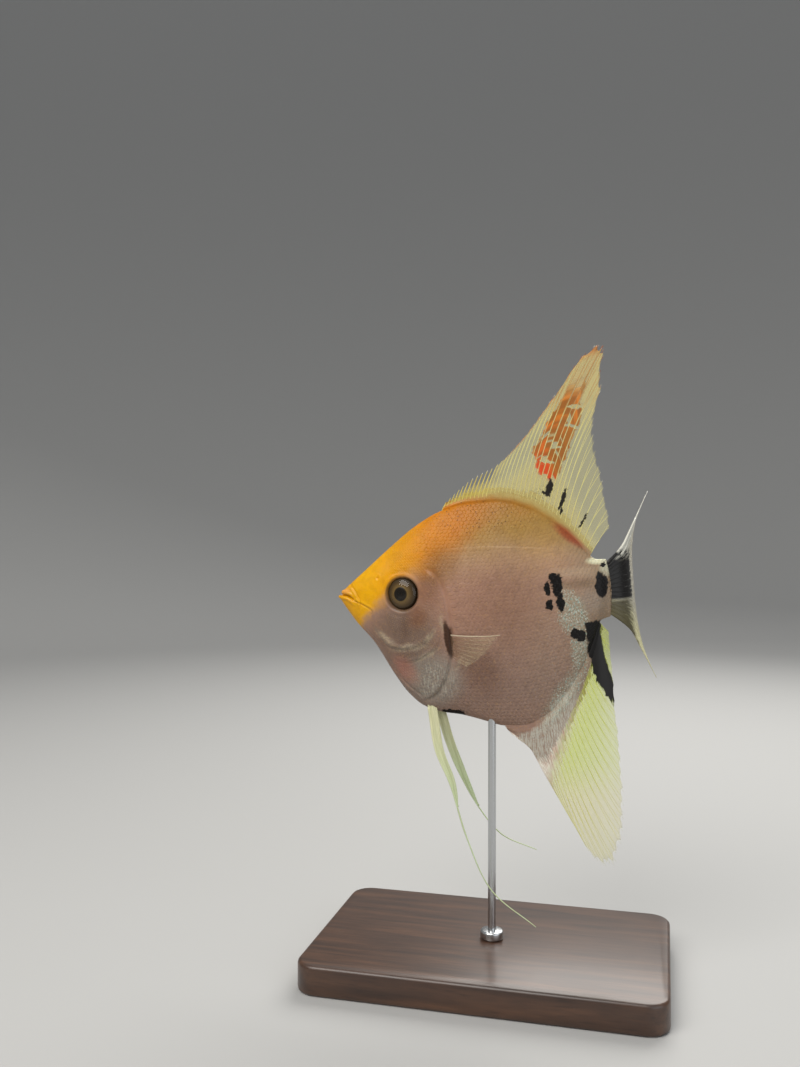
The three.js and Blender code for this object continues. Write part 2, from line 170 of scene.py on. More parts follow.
pose = {"pitch": math.radians(4.6), "snoutHeight": 102, "rodAt": 41, "bendFrom": 58, "bendRadius": 52}
body = {
    "length": 76,
    "back": through(
        (0, 1.0), (2.5, 3.1), (8, 7.3), (16, 13.4), (24, 18.9), (31, 22.2), (39, 23.9), (47, 23.8),
        (55, 21.5), (62, 17.0), (67, 12.2), (70.5, 7.8), (73, 5.7), (77, 5.5),
    ),
    "belly": through(
        (0, -0.7), (1.5, -3.2), (4.5, -7.8), (9, -13.4), (14.5, -23.2), (18, -28.3), (22, -31.9),
        (27, -33.9), (33, -35.0), (39, -36.8), (44, -38.3), (50, -38.7), (56, -36.4), (62, -30.9),
        (67, -23.4), (70.5, -16.0), (73, -10.9), (77, -9.9),
    ),
    "widest": through((0, 0.1), (12, -1.5), (30, -7), (50, -7.5), (66, -5), (77, -2.2)),
    "halfWidth": through(
        (0, 1.3), (2, 2.0), (6, 3.1), (12, 4.4), (19, 5.5), (27, 6.3), (35, 6.5), (44, 6.0),
        (54, 4.8), (63, 3.4), (71, 2.3), (77, 1.7),
    ),
    "backKeel": through((0, 0.5), (15, 0.56), (35, 0.7), (60, 0.75), (73, 0.55)),
    "bellyKeel": through((0, 0.5), (15, 0.58), (30, 0.6), (45, 0.72), (62, 0.85), (73, 0.55)),
    "scaleDepth": 0.055,
}


def midline(x):
    turn = np.maximum(0, x - pose["bendFrom"]) / pose["bendRadius"]
    reach = pose["bendRadius"]
    return np.minimum(x, pose["bendFrom"]) + reach * np.sin(turn), reach * (1 - np.cos(turn)), turn


def bent(p):
    middleX, middleY, turn = midline(p[..., 0])
    y = p[..., 1]
    return np.stack([middleX - y * np.sin(turn), middleY + y * np.cos(turn), p[..., 2]], -1)


def snoutPlace():
    rodTop = float(body["belly"](pose["rodAt"]))
    shift = pose["rodAt"] * math.cos(pose["pitch"]) - rodTop * math.sin(pose["pitch"])
    return (-shift / 1000, 0, pose["snoutHeight"] / 1000)


def placed(p):  # from the bent fish in millimetres to the stand's frame in metres
    cos, sin = math.cos(pose["pitch"]), math.sin(pose["pitch"])
    x, y, z = p[..., 0] / 1000, p[..., 1] / 1000, p[..., 2] / 1000
    snout = snoutPlace()
    return np.stack([x * cos - z * sin + snout[0], y, x * sin + z * cos + snout[2]], -1)


def bodyPoint(x, turn):  # turn 0 at the back, going towards +y
    high = np.cos(turn)
    middle = body["widest"](x)
    upper = high > 0
    reach = np.where(upper, body["back"](x) - middle, middle - body["belly"](x))
    keel = np.where(upper, body["backKeel"](x), body["bellyKeel"](x))
    nose = np.sqrt(np.clip(1 - np.clip((0.8 - x) / 1.2, 0, 1) ** 2, 0, 1))
    rear = np.sqrt(np.clip(1 - np.clip((x - body["length"] + 0.5) / 0.8, 0, 1) ** 2, 0, 1))
    ends = nose * rear
    thick = np.maximum(0, 1 - high * high) ** keel
    thick = thick * (1 - 0.7 * fade(72.0, 76.2, x))
    y = np.sign(np.sin(turn)) * body["halfWidth"](x) * thick * ends
    return np.stack([x, y, middle + reach * high * ends], -1)


def halfThickness(x, z):
    middle = body["widest"](x)
    upper = z > middle
    reach = np.where(upper, body["back"](x) - middle, middle - body["belly"](x))
    high = np.clip((z - middle) / reach, -1, 1)
    keel = np.where(upper, body["backKeel"](x), body["bellyKeel"](x))
    return body["halfWidth"](x) * (1 - high * high) ** keel


# the head's relief, as heights over the plain body

eye = {"x": 19.4, "z": 0.0, "y": 3.55, "radius": 4.7, "depth": 2.9, "turn": 12}
head = {  # each ring or groove: height, how far away its middle is, width
    "rear": 37,  # no relief behind this
    "mouth": {
        "line": smoothLine([(-0.8, 1.1), (0.8, 0.75), (3.0, 0.1), (5.2, -1.5)]),
        "cut": (-0.75, 0, 0.25), "lips": (0.32, 0.85, 0.5), "lipsFade": (5.6, 3.4),
    },
    "gill": {
        "line": smoothLine(
            [(25.6, 7.0), (29.0, 4.2), (31.0, -0.2), (31.9, -6.0), (32.2, -12.0), (31.6, -18.6),
             (29.6, -24.0), (26.2, -28.2), (21.6, -30.6)]
        ),
        "cover": 0.42, "slope": 2.6, "step": (-0.3, 0.5, 0.45),
    },
    "nostril": {"middle": (12.4, 4.9), "hole": (-0.3, 0, 0.3), "rim": (0.05, 0.7, 0.25)},
    "socket": {"rim": (0.1, 5.3, 0.4), "ring": (-0.08, 6.2, 0.6)},
}
folds = {  # fades in and out along the line; groove: depth, width; bead beside it: height, away, width, side
    "lip": {
        "line": smoothLine([(2.6, 4.2), (4.4, 2.4), (5.8, 0.2), (6.6, -2.0), (6.3, -4.2)]),
        "ends": ((0, 0.2), (1, 0.8)), "groove": (0.2, 0.28), "bead": (0.14, 0.5, 0.4, -1),
    },
    "jaw": {
        "line": smoothLine([(5.2, -1.5), (7.6, -2.7), (9.9, -4.3), (9.3, -6.2)]),
        "ends": ((-1, 0), (1, 0.8)), "groove": (0.2, 0.25), "bead": (0.16, 0.55, 0.45, 1),
    },
    "chin": {
        "line": smoothLine([(4.6, -5.2), (6.6, -9.2), (9.6, -12.4), (12.6, -15.6)]),
        "ends": ((0, 0.15), (1, 0.75)), "groove": (0.16, 0.3), "bead": (0, 0, 1, 1),
    },
    "throat": {
        "line": smoothLine([(12.6, -17.2), (15.4, -22.0), (19.0, -26.2), (23.4, -29.4)]),
        "ends": ((0, 0.15), (1, 0.8)), "groove": (0.22, 0.35), "bead": (0, 0, 1, 1),
    },
    "finPit": {
        "line": smoothLine([(32.4, -9.6), (32.9, -13.0), (33.2, -16.4), (32.9, -19.2)]),
        "ends": ((0, 0.15), (1, 0.85)), "groove": (0.8, 0.42), "bead": (0, 0, 1, 1),
    },
}
ridges = {  # strongest about "peak" along the line (place, width, least); gutter below it: depth, away, width
    "cheek": {
        "line": smoothLine(
            [(9.6, -7.0), (11.2, -9.2), (12.8, -12.0), (15.2, -14.2), (19.0, -14.8), (23.2, -13.9),
             (26.6, -11.6), (27.4, -7.6), (26.6, -2.6), (24.8, 2.0)]
        ),
        "peak": (0.42, 0.3, 0.3), "height": 0.36, "width": 1.3, "steep": 0.9, "gutter": (0.28, 0.9, 0.5),
    },
    "lower": {
        "line": smoothLine(
            [(14.4, -16.6), (17.6, -18.4), (21.9, -18.2), (25.2, -16.7), (28.2, -14.6), (29.3, -10.2),
             (28.8, -4.2)]
        ),
        "peak": (0.55, 0.25, 0.25), "height": 0.28, "width": 1.0, "steep": 0.8, "gutter": (0.28, 0.75, 0.4),
    },
}


def foldRelief(x, z, fold):
    gap, side, along = lineGap(x, z, fold["line"])
    depth, width = fold["groove"]
    height, away, beadWidth, beadSide = fold["bead"]
    bead = height * hump(gap - away, beadWidth) * (side * beadSide > 0)
    ends = fade(*fold["ends"][0], along) * fade(*fold["ends"][1], along)
    return ends * (bead - depth * hump(gap, width))


def ridgeRelief(x, z, ridge):
    gap, side, along = lineGap(x, z, ridge["line"])
    peakAt, peakWidth, least = ridge["peak"]
    depth, away, width = ridge["gutter"]
    ends = fade(0, 0.12, along) * fade(1, 0.8, along)
    ends = ends * (least + (1 - least) * hump(along - peakAt, peakWidth))
    crest = ridge["height"] * hump(gap * (1 + ridge["steep"] * (side > 0)), ridge["width"])
    return ends * (crest - depth * hump(gap - away, width) * (side < 0))


def relief(x, z):
    height = np.zeros(x.shape)
    near = x < head["rear"]
    if not near.any():
        return height
    x, z = x[near], z[near]
    mouth, gill, nostril, socket = (head[part] for part in ("mouth", "gill", "nostril", "socket"))
    gap, side, along = lineGap(x, z, mouth["line"])
    lips = fade(*mouth["lipsFade"], x) * ring(gap, *mouth["lips"])
    high = lips + ring(gap, *mouth["cut"]) * fade(1.02, 0.8, along)
    for fold in folds.values():
        high += foldRelief(x, z, fold)
    for ridge in ridges.values():
        high += ridgeRelief(x, z, ridge)
    gap, side, along = lineGap(x, z, gill["line"])
    ends = fade(0, 0.14, along) * fade(1, 0.85, along)
    beyond = gap * side
    cover = gill["cover"] * np.exp(-gap / gill["slope"]) * fade(0.3, -0.2, beyond)
    high += ends * (cover + ring(beyond, *gill["step"]))
    away = np.hypot(x - nostril["middle"][0], (z - nostril["middle"][1]) * 0.8)
    high += ring(away, *nostril["rim"]) + ring(away, *nostril["hole"])
    away = np.hypot(x - eye["x"], z - eye["z"])  # a low rim, then the socket
    high += ring(away, *socket["rim"]) + ring(away, *socket["ring"])
    high -= 0.4 * fade(5.6, 4.5, away) + 2.3 * fade(4.6, 4.15, away)
    height[near] = high
    return height


def skinPoint(x, turn, lift=0.0):
    stepX, stepTurn = 0.06, 0.004
    here = bodyPoint(x, turn)
    forward = bodyPoint(x + stepX, turn) - bodyPoint(x - stepX, turn)
    around = bodyPoint(x, turn + stepTurn) - bodyPoint(x, turn - stepTurn)
    out = np.cross(forward, around)
    size = np.linalg.norm(out, axis=-1, keepdims=True)
    out = np.where(size > 1e-9, out / np.maximum(size, 1e-9), 0)
    return here + out * (relief(here[..., 0], here[..., 2]) + lift)[..., None]


# meshes

def vertsOf(piece):
    co = np.empty(len(piece.data.vertices) * 3)
    piece.data.vertices.foreach_get("co", co)
    return co.reshape(-1, 3)


def setVerts(piece, co):
    piece.data.vertices.foreach_set("co", np.ascontiguousarray(co, dtype=np.float64).ravel())
    piece.data.update()


def setMap(piece, name, places):  # one UV map from an (u, v) for each vertex, in place of the primitive's own
    while piece.data.uv_layers:
        piece.data.uv_layers.remove(piece.data.uv_layers[0])
    layer = piece.data.uv_layers.new(name=name)
    corners = np.empty(len(piece.data.loops), dtype=np.int32)
    piece.data.loops.foreach_get("vertex_index", corners)
    layer.data.foreach_set("uv", places[corners].ravel())


def chosen(piece):  # the only piece that the next operator works on
    deselectAll()
    piece.select_set(True)
    bpy.context.view_layer.objects.active = piece


def outward(piece):
    chosen(piece)
    bpy.ops.object.mode_set(mode="EDIT")
    bpy.ops.mesh.select_all(action="SELECT")
    bpy.ops.mesh.normals_make_consistent(inside=False)
    bpy.ops.object.mode_set(mode="OBJECT")


def smooth(piece):
    chosen(piece)
    bpy.ops.object.shade_smooth()


def applied(piece, kind, **settings):
    chosen(piece)
    modifier = piece.modifiers.new(kind.title(), kind)
    for key, value in settings.items():
        setattr(modifier, key, value)
    bpy.ops.object.modifier_apply(modifier=modifier.name)


def sphere(name, segments, rings):  # a ball of radius 1, to be pushed into shape
    deselectAll()
    bpy.ops.mesh.primitive_uv_sphere_add(segments=segments, ring_count=rings, radius=1)
    bpy.context.object.name = name
    return bpy.context.object


def sheet(name, across, along):  # a flat grid from -0.5 to 0.5, to be pushed into shape
    deselectAll()
    bpy.ops.mesh.primitive_grid_add(x_subdivisions=across, y_subdivisions=along, size=1)
    bpy.context.object.name = name
    return bpy.context.object


def meshOf(name, verts, faces, maps=None):  # maps: {name: one (u, v) for each vertex}
    mesh = bpy.data.meshes.new(name)
    mesh.vertices.add(len(verts))
    mesh.vertices.foreach_set("co", np.ascontiguousarray(verts, dtype=np.float64).ravel())
    faces = np.asarray(faces)
    mesh.loops.add(faces.size)
    mesh.loops.foreach_set("vertex_index", faces.ravel())
    mesh.polygons.add(len(faces))
    mesh.polygons.foreach_set("loop_start", np.arange(len(faces)) * faces.shape[1])
    mesh.update(calc_edges=True)
    for key, places in (maps or {}).items():
        layer = mesh.uv_layers.new(name=key)
        layer.data.foreach_set("uv", np.ascontiguousarray(places[faces.ravel()], dtype=np.float64).ravel())
    mesh.validate()
    piece = bpy.data.objects.new(name, mesh)
    bpy.context.scene.collection.objects.link(piece)
    smooth(piece)
    return piece


def finished(piece, material, slot, *nodes):
    piece.data.materials.clear()
    piece.data.materials.append(material)
    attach(piece, "root")
    if nodes:
        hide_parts(*nodes)
    return piece


# material helpers: each adds nodes to the material made last

latest = {}


def tone(red, green, blue):
    linear = [((c / 255 + 0.055) / 1.055) ** 2.4 if c > 10 else c / 255 / 12.92 for c in (red, green, blue)]
    return (*linear, 1)


def newMaterial(name):
    material = bpy.data.materials.new(name)
    material.use_nodes = True
    material.node_tree.nodes.clear()
    latest["nodes"] = material.node_tree.nodes
    return material


def fill(socket, value):  # a link from another socket, or a plain value
    if isinstance(value, bpy.types.NodeSocket):
        socket.id_data.links.new(value, socket)
    else:
        socket.default_value = value


def put(kind, inputs=None, **settings):
    node = latest["nodes"].new(kind)
    for key, value in settings.items():
        setattr(node, key, value)
    for key, value in (inputs or {}).items():
        fill(node.inputs[key], value)
    return node


def principled(inputs):
    shader = put("ShaderNodeBsdfPrincipled", inputs)
    put("ShaderNodeOutputMaterial", {"Surface": shader.outputs["BSDF"]})


def calc(operation, *values):
    return put("ShaderNodeMath", dict(enumerate(values)), operation=operation).outputs[0]


def times(first, *others):
    for other in others:
        first = calc("MULTIPLY", first, other)
    return first


def minus(first, second):
    return calc("SUBTRACT", first, second)


def most(first, *others):
    for other in others:
        first = calc("MAXIMUM", first, other)
    return first


def raised(value, share, by):  # value + share * by
    return calc("MULTIPLY_ADD", share, by, value)


def nudged(value, wobble, reach):  # moved either way by up to half the reach
    return raised(value, minus(wobble, 0.5), reach)


def stretched(value, low, high, toLow=0.0, toHigh=1.0, way="LINEAR"):  # from one range to another
    inputs = {"Value": value, "From Min": low, "From Max": high, "To Min": toLow, "To Max": toHigh}
    return put("ShaderNodeMapRange", inputs, interpolation_type=way).outputs["Result"]


def ease(value, low, high, toLow=0.0, toHigh=1.0):  # the same with soft ends
    return stretched(value, low, high, toLow, toHigh, "SMOOTHSTEP")


def mixed(amount, under, over, way="MIX"):
    node = put("ShaderNodeMix", {0: amount, 6: under, 7: over}, data_type="RGBA", blend_type=way)
    return node.outputs[2]


def laid(colour, mask, strength, shade):  # a shade laid over a colour where the mask is
    return mixed(times(mask, strength), colour, shade)


def ramp(value, stops):  # stops: (value, colour)
    low, high = stops[0][0], stops[-1][0]
    node = put("ShaderNodeValToRGB", {"Fac": stretched(value, low, high)})
    handles = node.color_ramp.elements
    while len(handles) < len(stops):
        handles.new(0.5)
    for handle, (at, colour) in zip(handles, stops):
        handle.position = (at - low) / (high - low)
        handle.color = colour
    return node.outputs["Color"]


def curveOf(value, pairs):  # a number that follows (at, height) pairs, both in millimetres
    heights = [height for _, height in pairs]
    least, span = min(heights), max(heights) - min(heights)
    grey = ramp(value, [(at, (*[(height - least) / span] * 3, 1)) for at, height in pairs])
    return stretched(grey, 0.0, 1.0, least, least + span)


def noise(place, scale, detail=3.0, rough=0.55):
    node = put("ShaderNodeTexNoise", {"Vector": place, "Scale": scale, "Detail": detail, "Roughness": rough})
    return node.outputs["Fac"], node.outputs["Color"]


def cells(place, scale):  # distance to the nearest cell's middle, and two random shares of that cell
    node = put("ShaderNodeTexVoronoi", {"Vector": place, "Scale": scale, "Randomness": 1.0})
    parts = put("ShaderNodeSeparateColor", {"Color": node.outputs["Color"]}).outputs
    return node.outputs["Distance"], parts[0], parts[1]


def mapped(place, **settings):
    inputs = {"Vector": place, **{key.title(): value for key, value in settings.items()}}
    return put("ShaderNodeMapping", inputs).outputs["Vector"]


def objectPlace():
    return put("ShaderNodeTexCoord").outputs["Object"]


def fishPlace():  # object coordinates turned into the fish's own millimetres
    inputs = {
        "Vector": objectPlace(), "Location": snoutPlace(), "Rotation": (0, -pose["pitch"], 0),
        "Scale": (0.001, 0.001, 0.001),
    }
    return put("ShaderNodeMapping", inputs, vector_type="TEXTURE").outputs["Vector"]


def backAndUp(place):
    parts = put("ShaderNodeSeparateXYZ", {"Vector": place}).outputs
    return parts["X"], parts["Z"]


def vectorMath(operation, first, second=(0, 0, 0)):
    return put("ShaderNodeVectorMath", {0: first, 1: second}, operation=operation).outputs


def warped(place, scale, reach):
    centred = vectorMath("SUBTRACT", noise(place, scale)[1], (0.5, 0.5, 0.5))[0]
    pushed = vectorMath("MULTIPLY", centred, (reach, reach, reach))[0]
    return vectorMath("ADD", place, pushed)[0]


def spot(place, middle, size, turn=0.0, edge=(1.12, 0.88)):  # an oval mark in the side view
    inputs = {
        "Vector": place, "Location": (middle[0], 0, middle[1]), "Rotation": (0, math.radians(turn), 0),
        "Scale": (size[0], 1e4, size[1]),
    }
    here = put("ShaderNodeMapping", inputs, vector_type="TEXTURE").outputs["Vector"]
    return ease(vectorMath("LENGTH", here)["Value"], *edge)


def spots(place, ovals, edge=(1.12, 0.88)):
    return most(*[spot(place, *oval, edge) for oval in ovals])


# markings, shared by the skin and every scale on it

marks = {
    "flank": [  # height, colour; darker towards the belly, partly the fish's own colour and partly painted shade of light from above
        (-40, tone(124, 98, 74)), (-28, tone(118, 94, 72)), (-14, tone(126, 97, 72)), (0, tone(136, 104, 76)),
        (9, tone(150, 117, 76)), (16, tone(152, 116, 58)), (21, tone(154, 108, 42)), (25, tone(150, 100, 34)),
    ],
    "flankGain": (1.36, 1.4, 1.88, 1),  # lifts the flank from tan to a pale pinkish brown
    "goldEdge": [  # the gold's lower edge, by distance back
        (0, -9), (5, -9), (8, -6), (11, -3.2), (15, 0), (19, 4.0), (24, 5.8), (29, 7.2), (35, 11.0),
        (42, 16.0), (50, 20), (60, 23),
    ],
    "gold": [
        (0, tone(204, 144, 5)), (9, tone(216, 158, 4)), (19, tone(210, 140, 4)), (28, tone(196, 118, 8)),
        (36, tone(180, 106, 16)), (44, tone(162, 102, 30)), (52, tone(150, 100, 38)),
    ],
    "lateralLine": [(29, 10.6), (36, 11.6), (44, 11.4), (52, 10.6), (59, 9.8), (64, 9.0)],
    "creases": [  # middle, half size, turn; pale silvery streaks on the gill cover's ridges, partly its own silver and partly painted highlight
        ((13.4, -12.2), (4.4, 1.3), 42), ((20.6, -15.0), (6.0, 1.3), -4), ((26.4, -12.4), (3.2, 1.0), -48),
        ((25.0, -17.4), (4.6, 0.9), -28), ((30.4, -8.2), (0.8, 3.2), -6), ((34.4, -19.6), (0.6, 2.8), 32),
        ((36.4, -20.4), (0.5, 2.2), 36),
    ],
    "footLine": [  # the anal fin's foot, by distance back
        (46, -41.6), (50.8, -40.2), (54.5, -38.0), (57.6, -34.2), (61.6, -29.6), (66, -23.5), (70, -18),
    ],
    "wedge": [  # the rear black field's front edge, by height
        (-37, 76), (-34, 74.2), (-31, 72.3), (-27, 70.2), (-23, 69), (-18, 68.6), (-12, 68.6),
    ],
    "wedgeRear": [(-36, 77), (-34, 75.4), (-31, 75.0), (-26.5, 74.2), (-21, 72.9), (-15, 72.3), (-12, 72.3)],
    "glitter": [  # middle, half size, turn, soft edge, strength
        ((66.0, -7.5), (3.2, 7.0), -22, (1.35, 0.5), 1), ((67.0, -17), (2.8, 8.5), 8, (1.35, 0.4), 1),
        ((64.4, -10.0), (2.8, 4.8), -14, (1.4, 0.3), 1), ((61.8, -30), (3.2, 11), 38, (1.4, 0.4), 0.75),
        ((60, -16), (8, 20), 14, (1.3, 0.2), 0.22), ((26.5, -24.5), (8.5, 7.5), -25, (1.35, 0.5), 0.25),
    ],
    "flecks": [  # middle, half size, turn
        ((61.9, 26.2), (0.8, 2.4), 14), ((61.2, 24.4), (0.7, 0.9), 0), ((60.2, 24.8), (0.5, 0.4), 20),
        ((65.1, 22.6), (0.5, 3.2), 24), ((70.1, 16.4), (0.28, 2.4), 33), ((64.4, 19.4), (0.3, 1.0), 20),
    ],
    "black": [  # middle, half size, turn
        ((62.3, -0.4), (1.35, 3.0), 6), ((62.8, -5.0), (1.0, 2.6), 4), ((61.2, 1.6), (1.2, 1.5), 0),
        ((59.6, -1.0), (0.75, 1.9), 0), ((59.9, -5.6), (0.95, 1.6), 0), ((65.8, -13.9), (1.2, 1.5), 0),
        ((67.3, -14.5), (1.1, 1.6), 0), ((73.7, -1.3), (1.6, 3.4), 0), ((74.3, 4.0), (0.55, 0.8), 0),
        ((30.6, -34.4), (3.4, 1.5), 12),
    ],
}
patches = {  # ovals in the side view (middle, half size, turn), their soft edge, strength and colour
    # cheek: partly its own dusky colour, partly painted shade under the eye
    "cheek": ([((19, -12), (11, 11), 0)], (1.3, 0.5), 0.75, tone(88, 72, 54)),
    "silver": ([((26.5, -24.5), (8.5, 7.5), -25)], (1.35, 0.5), 0.75, tone(112, 103, 84)),
    # painted shade in the hollow below the eye
    "underEyeShade": ([((19.6, -9.0), (1.6, 4.4), 8)], (1.5, 0.1), 0.45, tone(74, 52, 36)),
    "rust": ([((27, 2), (4.6, 7), 8), ((23.8, -6.4), (3, 4), 30)], (1.4, 0.3), 0.7, tone(100, 64, 38)),
    "rosy": ([((18.6, -21.4), (3.0, 5.0), -38)], (1.4, 0.3), 0.6, tone(142, 92, 68)),
    "brown": ([((40, -22), (6, 9), -20)], (1.4, 0.3), 0.55, tone(96, 68, 48)),
    "pink": ([((40, -3), (15, 11), 0)], (1.3, 0.3), 0.45, tone(128, 90, 64)),
    "middle": ([((50, -4), (10, 13), 0)], (1.5, 0.2), 0.4, tone(104, 76, 52)),
    "paleBand": ([((67.5, 2.8), (7.5, 1.5), 0)], (1.5, 0.2), 0.4, tone(158, 134, 96)),
    "darkBand": ([((66.5, -0.6), (8.0, 1.1), 0)], (1.5, 0.2), 0.4, tone(84, 66, 42)),
    "stalk": ([((70.5, -5.6), (4.6, 3.4), 0)], (1.5, 0.2), 0.45, tone(128, 116, 92)),
    "shoulder": ([((31.0, 7.5), (5.0, 5.5), -30)], (1.5, 0.2), 0.55, tone(122, 80, 38)),
    # lips: partly their own pink, partly a painted highlight on the upper lip
    "lips": ([((2.1, 1.7), (1.9, 1.1), 0)], (1.3, 0.4), 0.55, tone(218, 150, 84)),
    "red": ([((66.6, 12.6), (5.0, 1.6), 40)], (1.5, 0.5), 0.75, tone(140, 50, 30)),
    "crest": ([((73.4, 5.4), (2.6, 0.9), 0)], (1.6, 0.6), 0.8, tone(226, 222, 186)),
    # painted shadow in the slit between the gill cover and the pectoral fin's root
    "gillSlitShadow": ([((31.8, -13.2), (1.0, 5.2), -5)], (1.2, 0.75), 0.92, tone(52, 30, 16)),
    # painted shadow in a thin ring round the eye
    "eyeRimShadow": ([((eye["x"], eye["z"]), (1, 1), 0)], (5.3, 4.6), 0.7, tone(70, 50, 28)),
}
blackTone = tone(16, 13, 12)


def patched(place, colour, *names):
    for name in names:
        ovals, edge, strength, shade = patches[name]
        colour = laid(colour, spots(place, ovals, edge), strength, shade)
    return colour


def flankColour(place, soft, fine):
    x, z = backAndUp(place)
    # flank colour by height, with painted shade darkening it towards the belly
    colour = ramp(nudged(z, noise(place, 0.11, 2.0)[0], 9.0), marks["flank"])
    # the cheek patch is partly painted shade; the silver below it is the gill cover's own
    colour = patched(place, colour, "cheek", "silver")
    # pale streaks on the gill cover's ridges: its own silver, partly painted highlight
    creases = spots(soft, marks["creases"], (1.3, 0.1))
    creases = times(creases, ease(fine, 0.35, 0.62, 0.45, 1.0))
    colour = laid(colour, creases, 0.62, tone(152, 138, 102))
    # painted shade below the eye
    colour = patched(place, colour, "underEyeShade")
    wrinkles = mapped(place, rotation=(0, 0.25, 0), scale=(2.2, 1.0, 0.32))
    wrinkles = ease(noise(wrinkles, 1.1, 3.0, 0.6)[0], 0.5, 0.62)
    wrinkles = times(spot(place, (26.8, -24.4), (6.4, 6.0), -20, (1.3, 0.5)), wrinkles)
    colour = laid(colour, wrinkles, 0.55, tone(154, 146, 116))
    colour = patched(place, colour, "rust", "rosy", "brown", "pink", "middle")
    colour = laid(colour, ease(x, 60, 76), 0.7, tone(112, 98, 68))
    colour = patched(place, colour, "paleBand", "darkBand", "stalk")
    line = calc("ABSOLUTE", minus(z, curveOf(x, marks["lateralLine"])))
    line = times(ease(line, 0.34, 0.08), ease(x, 30, 36), ease(x, 63, 56))
    colour = laid(colour, line, 0.4, tone(176, 142, 98))
    return mixed(ease(z, 17, 4), colour, mixed(1.0, colour, marks["flankGain"], "MULTIPLY"))


def goldOver(place, colour, medium):  # gold over the head and back
    x, z = backAndUp(place)
    above = nudged(minus(z, curveOf(x, marks["goldEdge"])), medium, 5.0)
    gold = ease(calc("DIVIDE", above, stretched(x, 4, 40, 2.4, 6.0)), -1.0, 1.0)
    gold = times(gold, ease(x, 62, 38))
    return mixed(gold, colour, ramp(x, marks["gold"]))


def mottled(colour, medium, fine):
    dull = mixed(0.5, colour, tone(90, 66, 50), "MULTIPLY")
    colour = laid(colour, ease(medium, 0.42, 0.66), 0.22, dull)
    return laid(colour, ease(fine, 0.5, 0.7), 0.14, tone(206, 158, 78))


def finFeet(place, colour, medium):  # the pale scaly feet of the dorsal fin and the anal fin
    x, z = backAndUp(place)
    backAt = (30, 35, 40, 46, 52, 57, 62, 66, 70, 73, 77)
    backEdge = curveOf(x, [(at, float(body["back"](at))) for at in backAt])
    foot = ease(minus(z, backEdge), -0.1, 2.3)
    foot = times(foot, ease(x, 72.4, 71.4), ease(x, 31, 36))
    colour = laid(colour, foot, 0.85, mixed(medium, tone(154, 132, 70), tone(184, 170, 112)))
    streaks = mapped(place, rotation=(0, -0.42, 0), scale=(2.6, 1.0, 0.3))
    streaks = ease(noise(streaks, 1.6, 3.0, 0.6)[0], 0.4, 0.56, 0.25, 1.0)
    below = nudged(minus(z, curveOf(x, marks["footLine"])), medium, 5.0)
    below = times(ease(below, 0.9, -1.2), ease(x, 67, 62), streaks)
    return laid(colour, below, 0.85, tone(186, 182, 168))


def peppered(place, colour):  # fine dark dots on the back
    far, share, _ = cells(place, 1.15)
    dots = times(ease(far, 0.3, 0.16), calc("GREATER_THAN", share, 0.4))
    dots = times(dots, spot(place, (42, 19.5), (14, 5), 6, (1.4, 0.5)))
    return laid(colour, dots, 0.75, tone(70, 44, 20))


def glittered(place, colour):  # along the rear of the flank and the root of the anal fin
    band = most(*[times(spot(place, *oval), strength) for *oval, strength in marks["glitter"]])
    flakes = mapped(place, rotation=(0, 0.45, 0), scale=(1.0, 0.6, 0.42))
    far, share, hue = cells(warped(flakes, 0.8, 0.5), 5.2)
    shine = times(ease(raised(share, band, 0.75), 0.92, 1.34), ease(band, 0.04, 0.5))
    shine = times(shine, ease(far, 0.66, 0.3))
    flakeTone = mixed(ease(hue, 0.55, 0.9), tone(206, 208, 194), tone(150, 196, 186))
    colour = laid(colour, band, 0.4, tone(142, 140, 116))
    return laid(colour, shine, 0.82, flakeTone), shine


def fleckPlace(place):
    return warped(warped(place, 0.7, 1.6), 2.4, 0.9)


def blackMarks(place, medium):  # blotches with ragged edges, and the wedge above the anal fin
    x, z = backAndUp(place)
    blots = spots(warped(warped(place, 0.5, 2.2), 1.8, 0.7), marks["black"])
    blots = most(blots, spots(fleckPlace(place), marks["flecks"]))
    wedge = nudged(minus(x, curveOf(z, marks["wedge"])), medium, 3.0)
    top = ease(nudged(z, medium, 3.0), -10.4, -11.2)
    return most(blots, times(ease(wedge, -0.15, 0.35), top))


def markings(place):
    medium = noise(place, 0.45, 4.0)[0]
    fine = noise(place, 2.2, 4.0)[0]
    soft = warped(place, 0.4, 1.6)
    colour = flankColour(place, soft, fine)
    colour = goldOver(place, colour, medium)
    colour = patched(place, colour, "shoulder")
    # paler lips, partly a painted highlight
    colour = patched(soft, colour, "lips")
    colour = mottled(colour, medium, fine)
    colour = patched(place, colour, "red", "crest")
    pale = spot(soft, (75.4, 3.4), (2.0, 2.6), 0, (1.3, 0.5))
    colour = laid(colour, pale, ease(medium, 0.3, 0.55, 0.35, 0.85), tone(190, 186, 160))
    # painted shadow in the slit behind the gill cover
    colour = patched(warped(place, 0.6, 0.8), colour, "gillSlitShadow")
    # painted shadow round the eye
    colour = patched(place, colour, "eyeRimShadow")
    colour = finFeet(place, colour, medium)
    colour = peppered(place, colour)
    colour, shine = glittered(place, colour)
    blots = blackMarks(place, medium)
    colour = mixed(blots, colour, blackTone)
    return colour, times(shine, minus(1.0, blots)), fine


